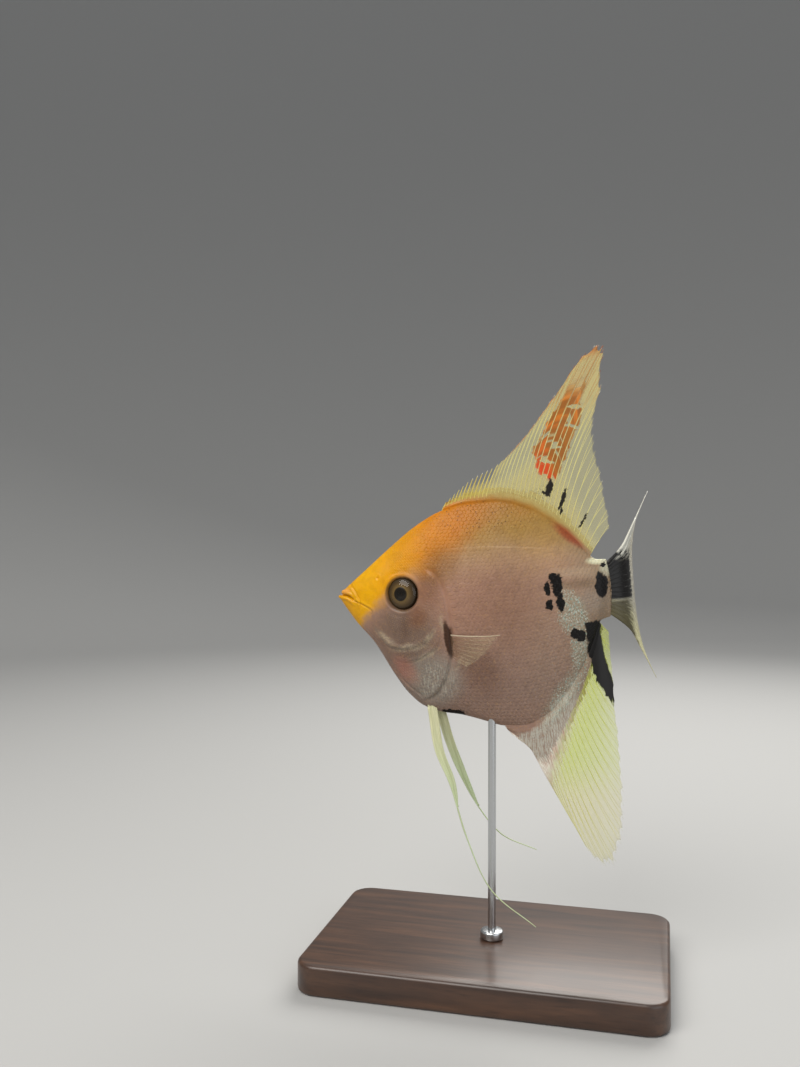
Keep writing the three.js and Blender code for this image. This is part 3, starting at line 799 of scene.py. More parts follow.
def skinMaterial(name, coat):
    material = newMaterial(name)
    place = fishPlace()
    colour, shine, fine = markings(place)
    rough = minus(raised(0.26, fine, 0.22), times(shine, 0.12))
    grain = raised(fine, noise(place, 7.0, 2.0)[0], 0.5)
    bump = put("ShaderNodeBump", {"Height": grain, "Strength": 0.25, "Distance": 0.00012})
    principled({
        "Base Color": colour, "Roughness": rough, "Metallic": times(shine, 0.7),
        "Specular IOR Level": 0.26, "Normal": bump.outputs["Normal"], "Subsurface Weight": 0.12,
        "Subsurface Radius": (1.0, 0.45, 0.28), "Subsurface Scale": 0.0012, "Coat Weight": coat,
        "Coat Roughness": 0.22, "IOR": 1.36,
    })
    return material


# skin

skinShape = {
    "around": 288,
    "rings": 300,
    "keel": 0.2,  # wider steps on the keels, closer ones on the flanks
    "station": through((0, -0.4), (0.02, 0.15), (0.2, 7.6), (0.5, 34), (0.78, 62), (1, 76.3)),
    "solids": ("head", "lower_jaw", "gill_cover_left", "gill_cover_right", "trunk", "tail"),
}


def makeSkin(material):
    skin = sphere("skin", skinShape["around"], skinShape["rings"])
    ball = vertsOf(skin)
    down = np.arccos(np.clip(ball[:, 2], -1, 1)) / np.pi
    turn = np.arctan2(ball[:, 1], ball[:, 0])
    turn = turn + skinShape["keel"] * np.sin(2 * turn)
    x = skinShape["station"](down)
    setVerts(skin, placed(bent(skinPoint(x, turn, np.full(x.shape, -body["scaleDepth"])))))
    outward(skin)
    smooth(skin)
    return finished(skin, material, "flank_skin", *skinShape["solids"])


# scales

scaleShape = {
    "overlap": 1.42,  # length of a scale over the step to the next
    "bodySpan": (18, 75.2),
    "bodyPitch": through((20, 1.0), (34, 1.25), (62, 1.25), (77, 0.85)),
    "bodyRow": 1.08,
    "bodyHalf": 0.68,
    "headFrom": (-12, 0),  # scales on the head fan out from a point ahead of the snout
    "headReach": (20.0, 60),
    "headGrowth": 0.0225,
    "headRow": 0.92,
    "headHalf": 0.64,
    "noScales": {"front": 12.6, "eye": 5.9, "finPit": 0.75, "relief": -0.14},
    "bake": 0.0015,  # size of a scale on the OFBake UV map
    "middle": (0.62, 0.0),
    "rings": (0.72, 1.06),  # the shoulder and the skirt, over the rim
    "tip": 1.26,
    "uneven": {"size": 0.05, "tilt": 0.007},
    "rim": [(0.0, -0.55), (0.0, 0.55), (0.4, 0.98), (0.8, 0.92), (1.1, 0.62), (1.26, 0.22), (1.26, -0.22),
            (1.1, -0.62), (0.8, -0.92), (0.4, -0.98)],
}
bodyEdge = smoothLine(
    [(22.0, 24.0), (23.4, 16.0), (25.8, 8.0), (29.6, 4.6), (31.9, -0.2), (32.9, -6.0), (33.2, -12.0),
     (32.6, -19.0), (30.4, -24.6), (26.6, -29.0), (21.6, -32.0), (18, -34)]
)


def arcTable():  # turn of the section at each distance round from the widest line
    stations = np.linspace(0, 76.3, 320)
    turns = np.linspace(-0.25, math.pi + 0.25, 420)
    reach = np.linspace(-46, 46, 500)
    table = np.empty((len(stations), len(reach)))
    limits = np.empty((len(stations), 2))
    for i, x in enumerate(stations):
        p = bodyPoint(np.full(turns.shape, x), turns)
        arc = np.concatenate([[0], np.cumsum(np.linalg.norm(np.diff(p, axis=0), axis=1))])
        arc = arc - np.interp(math.pi / 2, turns, arc)
        table[i] = np.interp(reach, arc, turns)
        limits[i] = np.interp((0, math.pi), turns, arc)
    return {"stations": stations, "reach": reach, "table": table, "limits": limits}


def cellOf(values, places):  # which step of an even scale each value is in, and how far through it
    at = np.clip((values - places[0]) / (places[1] - places[0]), 0, len(places) - 1.001)
    step = at.astype(int)
    return step, at - step


def turnAt(arcs, x, s):
    i, shareX = cellOf(x, arcs["stations"])
    j, shareS = cellOf(s, arcs["reach"])
    turns = arcs["table"]
    near = turns[i, j] * (1 - shareS) + turns[i, j + 1] * shareS
    far = turns[i + 1, j] * (1 - shareS) + turns[i + 1, j + 1] * shareS
    return near * (1 - shareX) + far * shareX


def bodySites():  # rows of scales along the flank: x, s, length, width, lean
    sites = []
    first, last = scaleShape["bodySpan"]
    for k in range(-40, 41):
        x = first + 0.5 * (k % 2) * float(scaleShape["bodyPitch"](first))
        while x < last:
            pitch = float(scaleShape["bodyPitch"](x))
            row = scaleShape["bodyRow"] * (1 - 0.3 * float(fade(60, 77, x)))
            sites.append((x, k * row, pitch * scaleShape["overlap"], row * scaleShape["bodyHalf"], 0.0))
            x += pitch
    return np.array(sites)


def headSites():
    sites = []
    originX, originS = scaleShape["headFrom"]
    nearest, farthest = scaleShape["headReach"]
    growth = scaleShape["headGrowth"]
    for k in range(-62, 63):
        angle = k * growth * scaleShape["headRow"]
        r = nearest * (1 + 0.5 * growth * (k % 2))
        while r < farthest:
            size = r * growth
            x, s = originX + r * math.cos(angle), originS + r * math.sin(angle)
            sites.append((x, s, size * scaleShape["overlap"], size * scaleShape["headHalf"], angle))
            r += size
    return np.array(sites)


def keptSites(sites, arcs, onHead):
    limit = scaleShape["noScales"]
    x, s = sites[:, 0], sites[:, 1]
    inside = (x > 8) & (x < 75.4)
    low = np.interp(x, arcs["stations"], arcs["limits"][:, 0])
    high = np.interp(x, arcs["stations"], arcs["limits"][:, 1])
    inside &= (s > low + 0.1) & (s < high - 0.1)
    turn = turnAt(arcs, x, s)
    z = bodyPoint(x, turn)[..., 2]
    gap, side, along = lineGap(x, z, bodyEdge)
    inside &= (side < 0) & (gap > 0.25) if onHead else (side > 0) | (gap < 0.2)
    eyeAway = np.hypot(x - eye["x"], z - eye["z"])
    inside &= eyeAway > limit["eye"]
    sink = np.zeros(len(sites))
    if onHead:
        bare = limit["front"] + 0.8 * np.sin(z * 0.35)
        inside &= x > bare
        inside &= relief(x, z) > limit["relief"]
        sink = 1.15 * fade(bare + 5, bare, x) + 0.5 * fade(7.4, 6.0, eyeAway)
    gap, side, along = lineGap(x, z, folds["finPit"]["line"])
    inside &= gap > limit["finPit"]
    gap, side, along = lineGap(x, z, head["gill"]["line"])
    level = (along > 0.02) & (along < 0.98)
    ahead = level & (side < 0)
    inside &= ~ahead | (gap > 0.8)
    inside &= ~(level & (side > 0)) | (gap > 0.55)
    length = np.where(ahead, np.minimum(sites[:, 2], (gap - 0.1) / scaleShape["tip"]), sites[:, 2])
    kept = np.hstack([sites, sink[:, None]])
    kept[:, 2] = length
    return kept[inside]


def scaleMesh(name, sites, surface, patchOf, flip, material, slot):
    # sites: u, v, length, width, lean, sink, u and v per millimetre; surface(u, v, lift) gives the points
    count = len(sites)
    rim = np.array(scaleShape["rim"])
    middle = np.array([scaleShape["middle"]])
    shoulder, skirt = (middle + (rim - middle) * size for size in scaleShape["rings"])
    outline = np.vstack([middle, shoulder, rim, skirt])
    sides = len(rim)
    u, v, length, width, lean, sink, perU, perV = (sites[:, k][:, None] for k in range(8))
    jitter = chance.normal(0, scaleShape["uneven"]["size"], (count, 2))
    along, across = outline[None, :, 0], outline[None, :, 1]
    a = along * length * (1 + jitter[:, :1])
    b = across * width * (1 + jitter[:, 1:])
    cos, sin = np.cos(lean), np.sin(lean)
    tilt = chance.normal(0, scaleShape["uneven"]["tilt"], (count, 1))
    rise = np.clip(along / scaleShape["tip"], 0, 1)
    depth = body["scaleDepth"]
    lift = -depth * 0.9 + depth * 0.82 * rise + tilt * across - 0.01 * np.abs(across)
    lift[:, :1] += 0.005
    lift -= depth * sink
    lift[:, -sides:] = -depth - 0.05
    overU = u + (a * cos - b * sin) * perU
    overV = v + (a * sin + b * cos) * perV
    points = placed(surface(overU, overV, np.minimum(lift, -0.003)))
    corner = np.arange(sides)
    after = (corner + 1) % sides
    faces = [[0, 1 + i, 1 + j] for i, j in zip(corner, after)]
    for start in (1, 1 + sides):
        for i, j in zip(corner, after):
            faces.append([start + i, start + sides + i, start + sides + j])
            faces.append([start + i, start + sides + j, start + j])
    faces = np.array(faces)
    if flip:
        faces = faces[:, ::-1]
    faces = (faces[None] + (np.arange(count) * len(outline))[:, None, None]).reshape(-1, 3)
    rootU, rootV = patchOf(u, v)
    patch = np.stack([rootU + (along - 0.6) * scaleShape["bake"], rootV + across * scaleShape["bake"]], -1)
    piece = meshOf(name, points.reshape(-1, 3), faces, {"OFBake": patch.reshape(-1, 2)})
    print(name, count, "scales", len(faces), "triangles")
    return finished(piece, material, slot)


def makeScales(name, side, arcs, material):
    sites = np.vstack([keptSites(bodySites(), arcs, False), keptSites(headSites(), arcs, True)])
    sites = np.hstack([sites, np.ones((len(sites), 2))])

    def surface(x, s, lift):
        return bent(skinPoint(x, turnAt(arcs, x, s) * side, lift))

    def patchOf(x, s):
        return x / 78, (s + 42) / 84

    return scaleMesh(name, sites, surface, patchOf, side < 0, material, "flank_skin")


# fins: q runs along the root from one ray to the next, share runs out along a ray

def lerp(low, high, t):
    return low + (high - low) * t


def tipsOf(*points):  # the fin's outer edge: q, and where the ray there ends in x and z
    q, x, z = zip(*points)
    return through(*zip(q, x)), through(*zip(q, z))


dorsal = {
    "gaps": 36, "spines": 12, "from": 32, "to": 71.5, "edge": body["back"], "away": 1, "bows": (0.03, 0.04),
    "tips": tipsOf(
        (0, 33, 24.6), (0.16, 40.6, 30.2), (0.3, 48, 33.6), (0.44, 56, 40.5), (0.54, 66, 52),
        (0.62, 76, 63.6), (0.67, 80.6, 64.9), (0.74, 78.6, 54), (0.82, 75, 41), (0.92, 76.6, 25.5),
        (1, 77.6, 14.2),
    ),
    "notches": (0.46, 0.03), "fray": 0.05, "cells": 4, "rows": 36, "rayWidths": ((0.3, 0.09), (0.15, 0.05)),
    "wave": 0.16, "waves": 4, "edgeBoost": {}, "sink": 1.3,
    "sheath": through((0, 0.5), (0.15, 1.2), (0.35, 2.2), (0.6, 2.6), (0.85, 1.9), (1, 0.8)),
}
anal = {
    "gaps": 31, "spines": 6, "from": 45, "to": 72.6, "edge": body["belly"], "away": -1, "bows": (0.03, 0.04),
    "tips": tipsOf(
        (0, 46.8, -41.2), (0.12, 51.6, -45.5), (0.2, 56.2, -55.5), (0.3, 62, -67.5), (0.38, 66.5, -76),
        (0.46, 71, -78.6), (0.58, 74.6, -68), (0.72, 75.6, -52), (0.86, 75.2, -35), (1, 74.8, -14),
    ),
    "notches": (0.2, 0.03), "fray": 0.05, "cells": 4, "rows": 40, "rayWidths": ((0.26, 0.08), (0.13, 0.05)),
    "wave": 0.16, "waves": 3, "edgeBoost": {}, "sink": 1.3,
    "sheath": through(
        (0, 1.4), (0.08, 5.0), (0.2, 11.0), (0.3, 12.0), (0.42, 9.0), (0.65, 4.5), (0.88, 2.2), (1, 0.6),
    ),
}
tail = {
    "gaps": 14, "spines": 0, "rootHalf": 7.2, "spread": 38, "curlRadius": 8, "turn": 88, "lost": (21, 12),
    "length": through(
        (-1, 28.5), (-0.9, 24), (-0.75, 21.5), (0, 19.5), (0.75, 20.5), (0.9, 22), (1, 25),
    ),
    "notches": (0, 0.03), "fray": 0.04, "cells": 6, "rows": 36, "rayWidths": ((0.3, 0.1), (0.22, 0.06)),
    "edgeBoost": {0: 1.7, 1: 1.3, 12: 1.3, 13: 1.8, 14: 2.2}, "sink": 1.0,
}
pectoral = {
    "gaps": 8, "spines": 0, "rootX": 33.2, "top": -12, "height": 6.4, "flare": 33, "bow": -0.03,
    "tips": tipsOf((0, 48.2, -11.4), (0.35, 44.8, -15.2), (0.7, 40.4, -18.8), (1, 37, -20.6)),
    "notches": (0, 0.04), "fray": 0.03, "cells": 5, "rows": 20, "rayWidths": ((0.2, 0.06), (0.12, 0.05)),
    "edgeBoost": {0: 1.5}, "sink": 0.7,
}


def medianPlace(fin, q, share):
    rootX = lerp(fin["from"], fin["to"], q)
    rootZ = fin["edge"](rootX) + fin["away"] * 0.45
    tipX, tipZ = fin["tips"]
    dx = tipX(q) - rootX
    dz = tipZ(q) - rootZ
    lastSpine = (fin["spines"] - 1) / fin["gaps"]
    bow = fin["away"] * lerp(*fin["bows"], fade(lastSpine - 0.02, lastSpine + 0.02, q))
    lift = 4 * bow * share * (1 - share)
    wave = fin["wave"] * fade(0, 0.7, share) * np.sin(2 * math.pi * (q * fin["waves"] + share * 0.6))
    return bent(np.stack([rootX + dx * share - dz * lift, wave, rootZ + dz * share + dx * lift], -1))


def tailPlace(fin, q, share):
    f = 2 * q - 1
    r = share * fin["length"](f)
    startX, startY, startTurn = midline(np.full(np.shape(q), 76.3))
    lost = np.where(f > 0, *fin["lost"])
    mostTurn = np.radians(fin["turn"] - lost * np.abs(f) ** 3)
    radius = fin["curlRadius"]
    curl = np.minimum(r / radius, mostTurn - startTurn)
    straight = np.maximum(0, r - curl * radius)
    turn = startTurn + curl
    high = f * (fin["rootHalf"] + r * math.tan(math.radians(fin["spread"])))
    return np.stack(
        [
            startX + radius * (np.sin(turn) - np.sin(startTurn)) + straight * np.cos(turn),
            startY + radius * (np.cos(startTurn) - np.cos(turn)) + straight * np.sin(turn),
            body["widest"](76) + high,
        ],
        -1,
    )


def pectoralPlace(fin, q, share, side):
    rootZ = fin["top"] - fin["height"] * q
    tipX, tipZ = fin["tips"]
    dx = tipX(q) - fin["rootX"]
    dz = tipZ(q) - rootZ
    lift = 4 * fin["bow"] * share * (1 - share)
    x = fin["rootX"] + dx * share - dz * lift
    z = rootZ + dz * share + dx * lift
    out = halfThickness(fin["rootX"], rootZ) + 0.8 + (x - fin["rootX"]) * math.tan(math.radians(fin["flare"]))
    out = out + 0.25 * fade(0.1, 1, share) * np.sin(2 * math.pi * q * 2)
    return bent(np.stack([x, side * out, z], -1))


rays = {
    "web": 0.00014, "blade": 0.00022,  # how thick the webs are, in metres
    "beyond": 0.012, "rings": 12, "spineRings": 14,
    "split": (0.5, 0.08), "thinned": 0.55, "fork": 0.24,  # a soft ray splits in two about half way out
}


def tipShares(fin):
    return 1 - fin["fray"] * chance.random(fin["gaps"] + 1)


def webEdge(fin, tips, q):  # how far out the web reaches between two rays
    u = np.clip(q * fin["gaps"], 0, fin["gaps"])
    between = np.sin(math.pi * (u - np.floor(u))) ** 0.8
    notch = np.where(u < fin["spines"] - 1, *fin["notches"])
    return np.interp(u, np.arange(len(tips)), tips) - 0.01 - notch * between


def rootShare(place, fin, q):  # how far below the root line a fin starts
    length = np.linalg.norm(place(q, np.ones(q.shape)) - place(q, np.zeros(q.shape)), axis=-1)
    return -fin["sink"] / length


def membrane(web, points, q, share, thickness, material, slot, *nodes):  # a fin's web from a flat sheet
    setVerts(web, placed(points))
    setMap(web, "finMap", np.stack([q, share], -1))
    applied(web, "SOLIDIFY", thickness=thickness, offset=0.0)
    outward(web)
    smooth(web)
    return finished(web, material, slot, *nodes)


def makeWeb(name, place, fin, tips, material):
    web = sheet(name, fin["gaps"] * fin["cells"], fin["rows"])
    flat = vertsOf(web)
    q = flat[:, 0] + 0.5
    share = lerp(rootShare(place, fin, q), webEdge(fin, tips, q), flat[:, 1] + 0.5)
    return membrane(web, place(q, share), q, share, rays["web"], material, "fin")


def tubeMesh(name, tubes, sides=6):  # tubes: (points, facing, radii, map) arrays, one row for each ring
    verts, faces, maps = [], [], []
    start = 0
    angles = np.arange(sides) * 2 * math.pi / sides
    for points, facing, radii, places in tubes:
        rings = len(points)
        along = np.gradient(points, axis=0)
        along /= np.linalg.norm(along, axis=1, keepdims=True)
        side = np.cross(along, facing)
        side /= np.linalg.norm(side, axis=1, keepdims=True)
        out = np.cross(side, along)
        r = radii[:, None, None]
        loop = points[:, None] + r * (
            np.cos(angles)[None, :, None] * side[:, None] + 0.8 * np.sin(angles)[None, :, None] * out[:, None]
        )
        ends = np.stack([points[0] - along[0] * radii[0] * 0.6, points[-1] + along[-1] * radii[-1] * 0.8])
        verts.append(np.vstack([loop.reshape(-1, 3), ends]))
        maps.append(np.vstack([np.repeat(places, sides, axis=0), places[:1], places[-1:]]))
        for i in range(rings - 1):
            for j in range(sides):
                a, b = start + i * sides + j, start + i * sides + (j + 1) % sides
                faces.append([a, b, b + sides])
                faces.append([a, b + sides, a + sides])
        first, last = start + rings * sides, start + rings * sides + 1
        for j in range(sides):
            k = (j + 1) % sides
            faces.append([first, start + k, start + j])
            faces.append([last, start + (rings - 1) * sides + j, start + (rings - 1) * sides + k])
        start += rings * sides + 2
    piece = meshOf(name, placed(np.vstack(verts)), faces, {"finMap": np.vstack(maps)})
    outward(piece)
    return piece


def rayTube(place, q, share, widths):
    points = place(q, share)
    facing = np.cross(place(q + 0.01, share) - place(q - 0.01, share), np.gradient(points, axis=0))
    facing /= np.linalg.norm(facing, axis=1, keepdims=True)
    t = (share - share[0]) / (share[-1] - share[0])
    return points, facing, lerp(*widths, t), np.stack([q, share], -1)


def makeRays(name, place, fin, tips, material):
    tubes = []
    for k in range(fin["gaps"] + 1):
        q = k / fin["gaps"]
        tip = min(1.0, tips[k] + rays["beyond"])
        start = float(rootShare(place, fin, np.array(q))) * 0.8
        if k < fin["spines"]:
            share = np.linspace(start, tip, rays["spineRings"])
            tubes.append(rayTube(place, np.full(share.shape, q), share, fin["rayWidths"][0]))
            continue
        thick, thin = np.array(fin["rayWidths"][1]) * fin["edgeBoost"].get(k, 1)
        split = rays["split"][0] + rays["split"][1] * chance.random()
        middle = lerp(thick, thin, rays["thinned"])
        share = np.linspace(start, split, rays["rings"])
        tubes.append(rayTube(place, np.full(share.shape, q), share, (thick, middle)))
        for way in (-1, 1):
            if not 0 <= k + way <= fin["gaps"]:
                continue
            share = np.linspace(split - 0.02, tip - 0.02 * chance.random(), rays["rings"])
            spread = way * rays["fork"] / fin["gaps"] * fade(split - 0.1, 1.1, share)
            tubes.append(rayTube(place, q + spread, share, (middle * 0.9, thin)))
    return finished(tubeMesh(name, tubes), material, "fin")


def makeFin(name, place, fin, looks, *nodes):
    tips = tipShares(fin)
    web = makeWeb(name + "Web", place, fin, tips, looks["web"])
    makeRays(name + "Rays", place, fin, tips, looks["rays"])
    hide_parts(*nodes)


sheath = {
    "grid": (160, 28), "coat": (0.07, 0.34), "rows": 16, "firstRow": 0.2, "row": 0.78, "pitch": 0.7,
    "scale": (1.15, 0.42), "ragged": (0.86, 0.2),
}


def makeSheath(name, place, fin, looks):  # the scaly foot of a fin, rooted in the back or belly
    even = np.linspace(0, 1, 60)
    rayLength = np.linalg.norm(place(even, np.ones(60)) - place(even, np.zeros(60)), axis=-1)

    def reach(q):
        return fin["sheath"](q) / np.interp(q, even, rayLength)

    def surface(q, share, lift, way):
        here = place(q, share)
        across = place(q + 0.004, share) - place(q - 0.004, share)
        up = place(q, share + 0.01) - place(q, share - 0.01)
        out = np.cross(up, across)
        out *= -fin["away"] / np.linalg.norm(out, axis=-1, keepdims=True)
        t = np.clip(share / reach(q), 0, 1)
        deep = np.clip(share / rootShare(place, fin, q), 0, 1)
        thick = (sheath["coat"][0] + sheath["coat"][1] * (1 - t) ** 1.5) * (1 - 0.2 * deep)
        return here + out * ((thick + lift) * way)[..., None]

    foot = sheet(name + "Sheath", *sheath["grid"])
    flat = vertsOf(foot)
    q = flat[:, 0] + 0.5
    fold = flat[:, 1] * 2
    share = lerp(reach(q), rootShare(place, fin, q), np.abs(fold))
    setVerts(foot, placed(surface(q, share, np.full(q.shape, -body["scaleDepth"]), np.sign(fold))))
    outward(foot)
    smooth(foot)
    finished(foot, looks["skin"], "flank_skin")
    least, varies = sheath["ragged"]
    sites = []
    for k in range(sheath["rows"]):
        high = sheath["firstRow"] + sheath["row"] * k
        along = 0.004 + 0.5 * (k % 2) * 0.02
        while along < 0.995:
            after, before = (place(np.array(along + nudge), np.array(0.1)) for nudge in (0.004, -0.004))
            step = float(np.linalg.norm(after - before)) / 0.008
            length = float(np.interp(along, even, rayLength))
            if high < float(fin["sheath"](along)) * (least + varies * chance.random()):
                sites.append((high / length, along, *sheath["scale"], 0.0, 0.0, 1 / length, 1 / step))
            along += sheath["pitch"] / step
    for way, label in ((-1, "Left"), (1, "Right")):
        scaleMesh(
            name + "Scales" + label, np.array(sites), lambda share, q, lift: surface(q, share, lift, way),
            lambda share, q: (q * 0.98 + 0.01, share * 0.9 + 0.05), way * fin["away"] < 0, looks["scales"],
            "flank_skin",
        )


# pelvic fins: a narrow blade whose front ray runs on as a long feeler

pelvic = {
    "left": {
        "line": [
            (23.6, -1.5, -33.6), (24.9, -3, -44), (28.9, -4.2, -54), (32.4, -5, -68), (38.2, -5.6, -82),
            (49.6, -6.2, -91.6),
        ],
        "blade": 3.6, "bladeShare": 0.42,
    },
    "right": {
        "line": [
            (25.2, 1.5, -34), (26.6, 3, -42.5), (29.6, 4.2, -52), (34, 5, -61.5), (40.2, 5.6, -70),
            (49.6, 6.2, -74.6),
        ],
        "blade": 3.6, "bladeShare": 0.6,
    },
    "feeler": 0.5, "grid": (14, 90), "rays": 5, "ray": (0.17, 0.06), "feelerRay": (0.34, 0.12),
}


def evenLine(points, count=200):
    line = smoothLine(points, 20)
    length = np.concatenate([[0], np.cumsum(np.linalg.norm(np.diff(line, axis=0), axis=1))])
    share = np.linspace(0, 1, count)
    return np.stack([np.interp(share, length / length[-1], line[:, k]) for k in range(3)], -1)


def pelvicPlace(fin, line, q, share):
    at = np.clip(share, 0, 1) * (len(line) - 1)
    low = np.minimum(at.astype(int), len(line) - 2)
    t = (at - low)[..., None]
    p = line[low] * (1 - t) + line[low + 1] * t
    ahead = line[np.minimum(low + 3, len(line) - 1)] - line[np.maximum(low - 2, 0)]
    p = p + np.minimum(share, 0)[..., None] * (line[1] - line[0]) * (len(line) - 1)
    across = np.stack([-ahead[..., 2], np.zeros(ahead.shape[:-1]), ahead[..., 0]], -1)
    across /= np.linalg.norm(across, axis=-1, keepdims=True)
    along = np.clip(share / fin["bladeShare"], 0, 1)
    width = np.maximum(pelvic["feeler"], fin["blade"] * (1 - along) ** 0.8 * (0.72 + 0.9 * along))
    ripple = 0.16 * np.sin(q * 9 + share * 14) * np.minimum(1, width / 2)
    p = p + across * (width * q)[..., None]
    return bent(p + np.stack([np.zeros(q.shape), ripple, np.zeros(q.shape)], -1))


def makePelvic(name, fin, looks, node):
    line = evenLine(fin["line"])

    def place(q, share):
        return pelvicPlace(fin, line, q, share)

    web = sheet(name + "Web", *pelvic["grid"])
    flat = vertsOf(web)
    q = flat[:, 0] + 0.5
    share = -0.03 + (flat[:, 1] + 0.5) * (fin["bladeShare"] + 0.02)
    membrane(web, place(q * 0.96, share), q, share, rays["blade"], looks["web"], "feeler", node)
    tubes = [rayTube(place, np.full(70, 0.06), np.linspace(-0.02, 1, 70), pelvic["feelerRay"])]
    for k in range(1, pelvic["rays"] + 1):
        far = fin["bladeShare"] * (1.0 - 0.07 * k)
        across = np.full(34, k / (pelvic["rays"] + 0.6))
        tubes.append(rayTube(place, across, np.linspace(-0.02, far, 34), pelvic["ray"]))
    finished(tubeMesh(name + "Rays", tubes), looks["rays"], "feeler")


# fin colours: each paint gives the colour and the cover of a web, or of its rays

orangeField = {  # on the dorsal fin: front and rear limits by height, and the clear bars across it
    "front": [
        (25, 62.2), (27.8, 61.0), (29.7, 59.6), (32.3, 58.6), (35.8, 57.8), (39.3, 59.9), (43.6, 62.5),
        (47.4, 65.2), (51.3, 67.6), (56, 70.6), (60, 73.6), (65, 77.6),
    ],
    "rear": [
        (25, 61.8), (28.8, 64.5), (32.3, 66.1), (35.8, 67.9), (39.4, 69.3), (42.8, 71.2), (46.9, 71.9),
        (50.2, 72.4), (56, 75.0), (60, 77.4), (65, 80.4),
    ],
    "bars": [
        ((61.6, 33.2), (2.2, 0.45), 18), ((70.6, 47.5), (2.4, 0.55), 4), ((69.3, 42.2), (2.2, 0.42), 14),
        ((64.8, 37.0), (1.3, 0.3), 20),
    ],
}


def finCoords():
    uv = put("ShaderNodeUVMap", uv_map="finMap").outputs["UV"]
    parts = put("ShaderNodeSeparateXYZ", {"Vector": uv}).outputs
    return parts["X"], parts["Y"]


def dashes(q, share, count, along, seed, byRay=False):  # short runs of colour along the rays
    across = times(q, count)
    if byRay:
        across = times(calc("FLOOR", across), 5.3)
    inputs = {"X": across, "Y": times(share, along), "Z": seed}
    return noise(put("ShaderNodeCombineXYZ", inputs).outputs[0], 1.0, 2.0)[0]


def orangeOf(place, q, share):  # the orange field over the front rays: where it is, and its shade
    x, z = backAndUp(place)
    shift = times(minus(noise(place, 0.42, 3.0)[0], 0.5), 3.5)
    fromFront = calc("ADD", minus(x, curveOf(z, orangeField["front"])), shift)
    fromRear = minus(minus(curveOf(z, orangeField["rear"]), x), shift)
    region = times(ease(fromFront, -0.3, 0.5), ease(fromRear, -0.3, 0.5), ease(z, 25.5, 28))
    bars = spots(warped(place, 0.7, 1.6), orangeField["bars"])
    dash = dashes(q, share, dorsal["gaps"], 10, 3.0, True)
    solid = ease(z, 40, 44, 0.0, 0.09)
    patchy = ease(calc("ADD", dash, solid), 0.385, 0.435, 0.1, 1.0)
    filled = times(region, patchy, minus(1.0, bars))
    filled = times(filled, ease(raised(z, dash, 12.0), 56, 63, 1.0, 0.16))
    between = calc("ABSOLUTE", minus(calc("FRACT", times(q, dorsal["gaps"])), 0.5))
    filled = times(filled, ease(between, 0.46, 0.36, 0.3, 1.0))
    shade = mixed(ease(fromFront, 2.5, 7.5), tone(196, 92, 18), tone(158, 92, 20))
    shade = mixed(ease(z, 40, 46), shade, tone(202, 112, 24))
    shade = mixed(ease(dash, 0.46, 0.62), tone(148, 84, 22), shade)
    red = times(ease(fromFront, 5.0, 2.5), ease(z, 38, 31))
    return filled, laid(shade, red, 0.9, tone(206, 58, 12))


def paintDorsal(place, q, share, onRay):
    z = backAndUp(place)[1]
    base = ease(share, 0.5, 0.12)
    front = ease(q, 0.44, 0.2)
    colour = mixed(base, tone(222, 214, 148), tone(208, 196, 130))
    colour = laid(colour, front, 0.85, tone(204, 184, 88))
    upper = ease(z, 38, 54)
    colour = laid(colour, upper, 0.8, tone(228, 206, 120))
    cover = raised(0.17, base, 0.22)
    cover = raised(cover, times(front, base), 0.2)
    cover = raised(cover, upper, 0.14)
    filled, shade = orangeOf(place, q, share)
    rim = times(ease(share, 0.88, 0.97), ease(q, 0.3, 0.42), ease(q, 0.7, 0.64))
    colour = laid(colour, rim, 0.85, tone(186, 104, 36))
    cover = raised(cover, rim, 0.35)
    colour = laid(colour, filled, 0.4 if onRay else 0.97, shade)
    cover = most(cover, times(filled, 0.9))
    if onRay:
        brown = times(ease(z, 45, 51), ease(q, 0.8, 0.72))
        mottle = ease(noise(place, 0.9, 3.0)[0], 0.25, 0.45, 0.4, 1.0)
        colour = laid(colour, brown, mottle, tone(172, 92, 30))
        colour = mixed(ease(share, 0.965, 0.99), colour, tone(228, 222, 196))
        cover = 0.8
    far, chosenCell, _ = cells(place, 2.4)
    dots = times(ease(far, 0.32, 0.22), calc("GREATER_THAN", chosenCell, 0.4))
    dots = times(dots, spot(place, (59.2, 24.6), (3.4, 2.8), 0, (1.3, 0.5)), 0.85)
    flecks = most(spots(fleckPlace(place), marks["flecks"]), dots)
    return mixed(flecks, colour, tone(24, 19, 14)), most(cover, times(flecks, 0.92))


